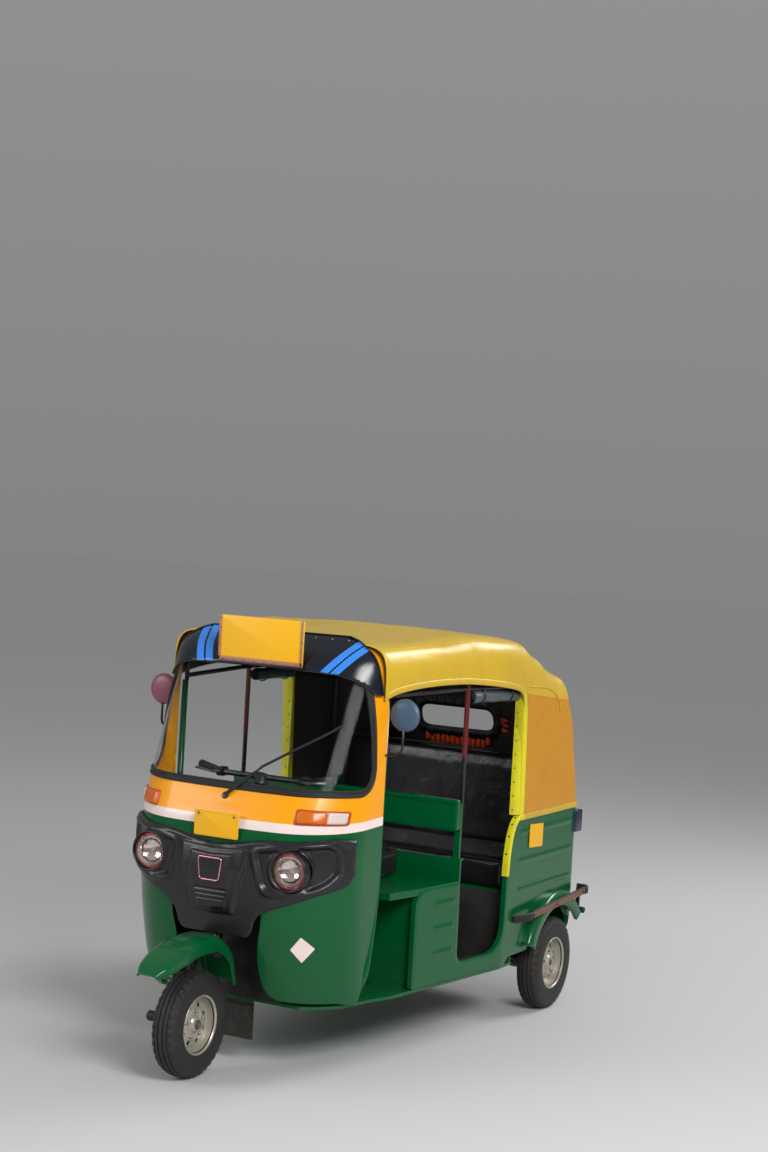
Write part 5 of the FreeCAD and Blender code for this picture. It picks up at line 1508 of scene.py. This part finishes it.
def dish_height(r):
    return np.interp(r, [0, 27, 31, 36, 44, 58, 66, 84, 90, 97],
                     [31, 31, 22, 19.5, 22, 22.5, 17, 13.5, 11, 10])


def make_rim(name, centre, outward):
    cx, cy, cz = centre

    def dish_surface(u, v, w):
        return np.stack([cx + u, cy + outward * (dish_height(np.hypot(u, v)) + w), cz + v], 1)

    def circle(r, u=0.0, v=0.0, count=48):
        return np.array([(u + r * math.cos(a), v + r * math.sin(a))
                         for a in np.linspace(0, 2 * math.pi, count, endpoint=False)])

    holes = []
    for i in range(8):
        a = 2 * math.pi * (i + 0.5) / 8
        holes.append(circle(9.5, 74 * math.cos(a), 74 * math.sin(a), 24))
    disc_part = trimmed_sheet("dish", dish_surface, [circle(97, count=120), circle(14.5)] + holes, 3.6, 0,
                              -4, soft_edge=0.6)
    if outward > 0:
        disc_part.data.flip_normals()
    barrel = [(96, 10), (100, 12), (104, 22), (103.5, 36), (106, 43), (110, 46.5), (113.5, 48), (115, 46.6),
              (113.5, 45.5), (107, 41), (105, 34), (103, 20), (98, 8), (98, -20), (104, -36), (107, -42),
              (113.5, -46), (115, -47), (113.5, -48), (109, -46), (103, -38), (96, -24), (95, 4), (96, 10)]
    ring = lathe("barrel", [(r, y * outward) for r, y in barrel], centre, (0, 1, 0), 96)
    nuts = []
    for i in range(5):
        a = 2 * math.pi * i / 5 + 0.3
        nuts.append(lathe("nut", [(0.1, 31), (5, 31), (6.6, 29), (6.6, 20)],
                          (cx + 51 * math.cos(a), cy, cz + 51 * math.sin(a)), (0, outward, 0), 6))
    hub = lathe("hub", [(14.5, 33), (20, 33), (24, 31), (26, 26), (27, 18)], centre, (0, outward, 0), 48)
    drum = lathe("drum",
                 [(97, 2), (88, 3), (87, -8), (84.5, -9), (84.5, -14), (87, -15), (87, -22), (84.5, -23),
                  (84.5, -28), (86, -30), (86, -38), (14.5, -38)], centre, (0, outward, 0), 72)
    valve = tube("valve", [(cx + 82, cy + outward * 12, cz + 14), (cx + 80, cy + outward * 36, cz + 14)],
                 2.6, 8)
    return join(name, [disc_part, ring, hub]), join(name + "_nuts", nuts + [valve]), drum


AXLE = (1000, 0, HUB_Z)
for body, centre, outward in (("front_wheel", AXLE, 1), ("rear_left_wheel", (REAR_AXLE, 575, HUB_Z), 1),
                              ("rear_right_wheel", (REAR_AXLE, -575, HUB_Z), -1)):
    short = body.replace("_wheel", "")
    finish(make_tyre(short + "_tyre_tread", centre), rubber, short + "_tyre", sharp=38,
           body=body)
    dish, nuts, drum = make_rim(short + "_wheel_rim", centre, outward)
    finish(dish, rim_enamel, short + "_rim", sharp=40, body=body)
    finish(nuts, bare_steel, sharp=30, body=body)
    finish(drum, cast_metal, sharp=40, body=body)

# Front fork: a steel steering column with one bent leg on the right, a short link from the leg's foot
# forward to the axle, and a coil spring over its damper between link and crown.
RAKE = math.radians(24)
STEER = (-math.sin(RAKE), 0, math.cos(RAKE))
FORK_TOP, LEG_Y, PIVOT_X, PIVOT_Z = 462, -92, 886, 262


def steer_x(z):
    return 975 - (z - HUB_Z) * math.tan(RAKE)


column = tube("steering_column", [(steer_x(z), 0, z) for z in (1120, 900, 652, 470)], 20, 32)
lock_nut = lathe("lock_nut", [(20, -10), (30, -9), (31, 0), (30, 9), (20, 10)], (steer_x(640), 0, 640),
                 STEER, 32)
crown = lathe("fork_crown", [(0.1, -24), (30, -23), (36, -17), (36, 10), (31, 16), (20, 17)],
              (steer_x(FORK_TOP), 0, FORK_TOP), STEER, 40)
leg = tube("fork_leg",
           bend([(steer_x(FORK_TOP), 0, FORK_TOP), (steer_x(FORK_TOP), LEG_Y, 442), (872, LEG_Y, 380),
                 (PIVOT_X, LEG_Y, PIVOT_Z)], 44, 10), 15.5, 24)
boss = lathe("link_pivot",
             [(0.1, -118), (14, -118), (15, -116), (24, -115), (24, -74), (15, -73), (10, -72), (0.1, -72)],
             (PIVOT_X, 0, PIVOT_Z), (0, 1, 0), 32)
link = tube("axle_link",
            [(PIVOT_X, LEG_Y, PIVOT_Z), (920, LEG_Y, 246), (960, LEG_Y, 226), (AXLE[0], LEG_Y, HUB_Z)],
            [15, 13, 13, 17], 20)
axle = tube("front_axle_rod", [(AXLE[0], y, HUB_Z) for y in (-160, -100, 0, 45)], 13.8, 24)
sleeve = lathe("axle_sleeve", [(14, -152), (21, -151), (21, -46), (14, -45)], AXLE, (0, 1, 0), 32)
axle_nuts = [lathe("axle_nut", [(0.1, y + 9 * s), (9, y + 9 * s), (19, y + 7 * s), (20, y), (14, y)],
                   AXLE, (0, 1, 0), 6) for y, s in ((34, 1), (-152, -1))]
finish(join("front_fork_parts", [column, crown, leg, boss, link, sleeve]), black_enamel, "front_fork",
       sharp=40, body="fork")
finish(join("front_axle_parts", [axle, lock_nut] + axle_nuts), bare_steel, sharp=30, body="fork")
cap = lathe("axle_cap", [(0.1, -192), (15, -191), (20, -186), (20, -150)], AXLE, (0, 1, 0), 32)
finish(cap, black_rubber, sharp=40, body="fork")
low, high = np.array([982, -134, 222.0]), np.array([905, -134, 400.0])
run = (high - low) / np.linalg.norm(high - low)
side = np.cross(run, (0, 1, 0))
over = np.array([0, 1.0, 0])
coil = []
for k in range(9 * 28 + 1):
    t = k / (9 * 28)
    a = 2 * math.pi * 9 * t
    coil.append(low + (high - low) * (0.14 + 0.78 * t) + 16.5 * (math.cos(a) * side + math.sin(a) * over))
spring = tube("front_spring", coil, 3.4, 8)
strut = tube("front_damper_body", [low, low + (high - low) * 0.5], 12, 20)
strut_rod = tube("front_damper_rod",
                 bend([low + (high - low) * 0.5, high, (880, -134, 448), (862, -94, 452)], 20), 9.5, 16)
seats = [lathe("spring_seat", [(6, -3), (20, -3), (20, 3), (6, 3)], low + (high - low) * t, run, 28)
         for t in (0.1, 0.95)]
finish(join("front_damper_parts", [strut, strut_rod] + seats), black_enamel, "front_damper",
       sharp=40, body="fork")
finish(spring, bare_steel, sharp=0, body="fork")

# Handlebar: a bent steel tube clamped over the column, with a ribbed rubber grip, a moulded switch pod and
# a steel lever on each side.
bar_x = steer_x(1105)
bars = tube("handlebar_tube",
            bend([(bar_x - 40, -310, 1127), (bar_x, -190, 1111), (bar_x, 190, 1111),
                  (bar_x - 40, 310, 1127)], 60, 8), 11.5, 20)
clamp = lathe("bar_clamp", [(0.1, 34), (26, 33), (30, 28), (30, -12), (26, -14), (20, -14)],
              (steer_x(1091), 0, 1091), STEER, 32)
finish(join("handlebar_parts", [bars, clamp]), black_enamel, "handlebar", sharp=40,
       body="fork")
grips, levers = [], []
for sign in (-1, 1):
    a, b = np.array([bar_x - 40, sign * 310, 1127.0]), np.array([bar_x - 8, sign * 214, 1114.0])
    grips.append(lathe("grip",
                       [(0.1, -2), (13, -2), (16, 0), (16, 4)]
                       + [(15.5 + 0.8 * (k % 2), 6 + k * 4) for k in range(20)] + [(16, 90), (13, 92)], a,
                       b - a, 20))
    grips.append(block("switch_pod", (bar_x - 30, bar_x + 14), sorted((sign * 172, sign * 206)),
                       (1094, 1130), 6))
    levers.append(tube("lever",
                       bend([(bar_x + 12, sign * 190, 1112), (bar_x + 34, sign * 215, 1112),
                             (bar_x + 14, sign * 300, 1118)], 30), 4.5, 10))
finish(join("handlebar_grips", grips), black_rubber, sharp=40, body="fork")
finish(join("brake_levers", levers), bare_steel, sharp=0, body="fork")

# Front mudguard: one pressed green sheet arched over the wheel, narrowing to its tip, with a rolled edge.
# It is bolted to the fork by a flat stay and turns with the wheel.
# Each row: number, x, height, half width and how far the sides come down.
GUARD = np.array([(0, 778, 338, 66, 28), (1, 812, 440, 72, 44), (2, 880, 514, 76, 56), (3, 960, 546, 78, 60),
                  (4, 1060, 548, 78, 60), (5, 1180, 520, 76, 54), (6, 1270, 478, 66, 40),
                  (7, 1317, 444, 40, 12)], float)
at = np.linspace(0, 7, 90)
rows = follow(GUARD, at)
rail = np.gradient(rows[:, :2], axis=0)
rail /= np.linalg.norm(rail, axis=1)[:, None]
arc = np.array([(0, -1, -1), (1, -1.0, -0.48), (2, -0.87, -0.16), (3, -0.5, -0.03), (4, 0, 0),
                (5, 0.5, -0.03), (6, 0.87, -0.16), (7, 1.0, -0.48), (8, 1, -1)], float)
across = follow(arc, np.linspace(0, 8, 49))
guard_points = []
for (x, z, half, skirt), (rx, rz) in zip(rows, rail):
    for a, b in across:
        d = b * skirt
        guard_points.append((x - rz * d, a * half, z + rx * d))
guard = add_mesh("mudguard_sheet", guard_points, net_faces(90, 49, back=True))
thicken(guard, 2.8, -1 if guard.data.polygons[2000].normal.z > 0 else 1)
rim_line = [i * 49 for i in range(90)] + [89 * 49 + k for k in range(1, 49)] + [
    i * 49 + 48 for i in range(88, -1, -1)] + [k for k in range(47, 0, -1)]
edge_line = np.array(guard_points)[rim_line]
guard_bead = tube("mudguard_bead", edge_line, 3.0, 8, closed=True)
finish(guard, green_enamel, "front_mudguard", sharp=0, body="fork")
stay = plate("mudguard_stay", corners(866, 890, -70, 70), "plan", 454, 465, 2)
stay_bolts = [lathe("stay_bolt", [(0.1, 7), (5, 6.5), (7, 4), (7, 0)], (x, y, 545), (0, 0, 1), 6)
              for x in (980, 1030) for y in (-24, 24)]
finish(guard_bead, green_enamel, sharp=0, body="fork")
finish(join("mudguard_fixings", [stay] + stay_bolts), black_enamel, body="fork")

# Roof frame and posts: four bows and two rails of bent steel tube, welded together and painted black, with
# dark red sleeves on the second bow. The two front posts are enamelled in the body's green.
bows = []
for x, half, top, foot in ((441, 482, 1672, 1447), (-152, 550, 1688, 768), (-590, 590, 1642, 905),
                           (-1000, 590, 1482, 905)):
    h, t = half - 18, top - 20
    bows.append(tube("bow",
                     bend([(x, h, foot), (x, h, t - 78), (x, h - 70, t - 14), (x, 0, t), (x, 70 - h, t - 14),
                           (x, -h, t - 78), (x, -h, foot)], 70, 8), 9.6, 16))
rails = [tube("rail",
              bend([(441, s * 462, 1466), (-152, s * 530, 1472), (-590, s * 570, 1462),
                    (-1000, s * 570, 1380)], 80), 9.6, 16) for s in (-1, 1)]
finish(join("hood_frame_tubes", bows + rails), black_enamel, "roof_frame", sharp=0)
maroon = worn("dark red pole paint", tint(96, 20, 18), 0.3, 0.1)
finish(pair("pole_sleeves",
            tube("sleeve", [(-152, 532, 1190), (-152, 532, 1400), (-152, 532, 1585)], 10.6, 16)), maroon,
       sharp=40)
post = [(512, 440, 270), (508, 447, 310), (494, 472, 375), (468, 472, 505), (446, 472, 645), (441, 472, 760),
        (441, 471, 1447)]
finish(pair("door_post_tubes", tube("post", bend(post, 60), 13, 20)), green_enamel, "door_posts",
       sharp=0)

# Rear side curtains: coated grey sheet rolled up lengthwise on each side and strapped under the roof rails
# by two black ties.
sheet_grey = vinyl("grey curtain sheet", tint(74, 84, 92), tint(60, 58, 54), 0.4, 0.3)
start, stop = np.array([-196, 524, 1433.0]), np.array([-562, 558, 1426.0])
spiral = [(9 + 19 * k / 200, 2 * math.pi * 4.4 * k / 200) for k in range(201)]
sections = 24
ring_points = []
for i in range(sections + 1):
    p = start + (stop - start) * i / sections
    for r, a in spiral:
        wobble = 1 + 0.03 * math.sin(5 * a + i * 0.7)
        ring_points.append((p[0], p[1] + r * wobble * math.cos(a), p[2] + r * wobble * math.sin(a)))
roll = add_mesh("curtain_roll", ring_points, net_faces(sections + 1, len(spiral)))
right_roll = flip(roll, "curtain_roll_right")
for made in (roll, right_roll):
    finish(made, sheet_grey, "curtain_rolls", sharp=0)
ties = []
for t in (0.18, 0.8):
    p = start + (stop - start) * t
    ties.append(tube("tie",
                     [(p[0], p[1] + 30 * math.cos(a), p[2] + 6 + 36 * math.sin(a))
                      for a in np.linspace(0, 2 * math.pi, 40, endpoint=False)], 3.2, 8, closed=True))
finish(pair("curtain_ties", join("ties", ties)), black_vinyl, sharp=0)

# Mirrors: round moulded shells, blue-grey on the left and mauve on the right, on bent black wire stalks
# that come off the door posts. The silvered glass faces back.
MIRROR = (463, 562, 1402)
stalk = tube("mirror_stalk",
             bend([(463, 489, 1240), (463, 522, 1240), (463, 562, 1262), (463, 562, 1404)], 18), 5, 12)
shell_back = lathe("mirror_shell", [(0.1, 9.5), (30, 9), (50, 6), (60, 1), (64, -5), (64, -9), (61, -10)],
                   MIRROR, (1, 0, 0), 64)
mirror_glass = lathe("mirror_glass", [(0.1, -8.5), (61.5, -8.5)], MIRROR, (1, 0, 0), 64)
blue_grey = worn("blue-grey mirror shell", tint(62, 84, 108), 0.35, 0.1)
mauve = worn("mauve mirror shell", tint(132, 72, 92), 0.35, 0.1)
finish(flip(shell_back, "mirror_shell_right"), mauve, "mirrors", sharp=0)
finish(shell_back, blue_grey, "mirrors", sharp=0)
silvered = worn("mirror glass", tint(230, 232, 236), 0.03, 0.0, Metallic=1.0)
finish(pair("mirror_glasses", mirror_glass), silvered, sharp=0)
finish(pair("mirror_stalks", stalk), black_enamel, sharp=0)

# Wiper: a black pressed arm on a pivot through the cowl below the screen, tapering towards a curved blade
# that lies along the glass.
arm_path = bend([(848, 4, 1066), (813, 90, 1145), (788, 138, 1188)], 40)
blade_path = [(785, 122, 1180), (735, 260, 1266), (691, 343, 1318), (648, 398, 1359)]
wiper_parts = [tube("wiper_arm", arm_path, np.linspace(7.5, 4.4, len(arm_path)), 10),
               tube("wiper_blade", bend(blade_path, 90), 5.4, 10),
               lathe("wiper_pivot", [(15, -8), (16, 18), (15, 25), (11, 30), (0.1, 31)], (815, 0, 1053),
                     (0.9, 0, 0.43), 24)]
finish(join("wiper_parts", wiper_parts), black_enamel, "wiper", sharp=30)

# Seat cushions: foam blocks in stretched black vinyl, laid on the seat boxes, with a round welt sewn along
# their edges. A short cloth run swells each one.
seat_vinyl = vinyl("seat vinyl", tint(26, 25, 30), tint(64, 56, 50), 0.24, 0.5, 0.35)


def cushion(name, lo, hi, voxel, cap, node):
    lo, hi = np.array(lo, float), np.array(hi, float)
    inset = 8.0
    body = block(name, (lo[0] + inset, hi[0] - inset), (lo[1] + inset, hi[1] - inset),
                 (lo[2] + inset * 0.5, hi[2] - inset), 26)
    remesh = body.modifiers.new("even mesh", "REMESH")
    remesh.mode = "VOXEL"
    remesh.voxel_size = voxel / 1000
    mesh = bpy.data.meshes.new_from_object(body.evaluated_get(bpy.context.evaluated_depsgraph_get()))
    body.modifiers.clear()
    body.data = mesh
    rest = np.array([v.co for v in mesh.vertices])
    swell = body.modifiers.new("swell", "CLOTH")
    swell.settings.use_pressure = True
    swell.settings.uniform_pressure_force = 4
    swell.settings.effector_weights.gravity = 0
    swell.settings.quality = 4
    swell.point_cache.frame_start = 1
    swell.point_cache.frame_end = 20
    for step in range(1, 21):
        bpy.context.scene.frame_set(step)
    moved = body.evaluated_get(bpy.context.evaluated_depsgraph_get()).to_mesh()
    shift = np.array([v.co for v in moved.vertices]) - rest
    bpy.context.scene.frame_set(1)
    body.modifiers.clear()
    size = np.linalg.norm(shift, axis=1)[:, None]
    shift *= np.minimum(1, cap / 1000 / np.maximum(size, 1e-9))
    rest = rest + shift
    rest = np.clip(rest, lo / 1000 + 0.0005, hi / 1000 - 0.0005)
    body.data.vertices.foreach_set("co", rest.ravel())
    body.data.update()
    subdivide = body.modifiers.new("smooth", "SUBSURF")
    subdivide.levels = subdivide.render_levels = 1
    finish(body, seat_vinyl, node, sharp=0)
    return body


cushion("driver_cushion", (-60, -330, 678), (350, 330, 800), 9, 12, "driver_seat")
cushion("bench_cushion", (-1040, -560, 576), (-570, 560, 715), 12, 14, "passenger_seat")
cushion("bench_back_cushion", (-1110, -540, 640), (-1040, 540, 1130), 12, 12, "passenger_backrest")


def welt_ring(x, y, at, plane):
    ring = dense(rounded(corners(*x, *y), 40), 12)
    return tube("welt", [(a, b, at) if plane == "plan" else (at, a, b) for a, b in ring], 3.2, 8,
                closed=True)


welts = [welt_ring((-46, 336), (-316, 316), 786, "plan"), welt_ring((-1026, -584), (-546, 546), 701, "plan"),
         welt_ring((-528, 528), (652, 1118), -1049, "back")]
finish(join("seat_welts", welts), black_vinyl, sharp=0)

# Driver's back board: a steel sheet in body green across the vehicle, its edges rolled over, with a bead
# along its upper part. It is screwed to the partition's two upright arms.
board = trimmed_sheet("back_board",
                      lambda u, v, w: np.stack([-104 + w + 8 * np.exp(-((v - 1006) / 10) ** 2), u, v], 1),
                      [dense(rounded(corners(-545, 545, 885, 1015), 14), 8)], 8, 9, -20, soft_edge=3)
finish(board, green_enamel, "driver_backrest", sharp=50)

# Floor mats: loose sheets of ribbed black rubber on the cabin floor, ahead of and behind the driver's seat,
# and a plain one glued up the front of the bench.
mats = []
for (x0, x1, y0, y1, z) in ((-586, -166, -470, 470, 270), (166, 470, -330, 330, 270)):
    mats.append(block("mat", (x0, x1), (y0, y1), (z, z + 3), 1))
    for y in np.arange(y0 + 14, y1 - 10, 22):
        mats.append(block("mat_rib", (x0 + 8, x1 - 8), (y, y + 8), (z + 3, z + 4.4), 0.6))
mats.append(block("mat", (-592, -589), (-556, 556), (276, 566), 1))
finish(join("floor_mats", mats), black_rubber, sharp=30)

# Everything that no finer piece above stands for shows as the fixed model: floor pans, boxes and brackets
# of welded steel, each in the finish its record names, with its sharp edges eased.
silver_enamel = worn("silver wheel enamel", tint(200, 196, 182), 0.32, 0.35, height=0.5)
PLAIN = {
    "green_paint": green_enamel, "yellow_paint": yellow_enamel, "white_paint": white_enamel,
    "black_plastic": black_moulding, "black_paint": black_enamel, "black_rubber": black_rubber,
    "silver_paint": silver_enamel, "grey_steel": bare_steel, "cast_metal": cast_metal,
    "plate_yellow": plate_yellow, "sign_yellow": plate_yellow, "screen_glass": glass,
    "tyre_rubber": black_rubber,
}
slot_of = {p["node"]: p["material_slot"] for p in frame["record"]["subparts"]}
for name, thing in frame["nodes"].items():
    thing.data.materials.clear()
    thing.data.materials.append(PLAIN.get(slot_of[name], black_enamel))
    ease = thing.modifiers.new("eased edges", "BEVEL")
    ease.width = 0.0015
    ease.segments = 2
    ease.limit_method = "ANGLE"
    ease.angle_limit = math.radians(40)
    ease.harden_normals = True
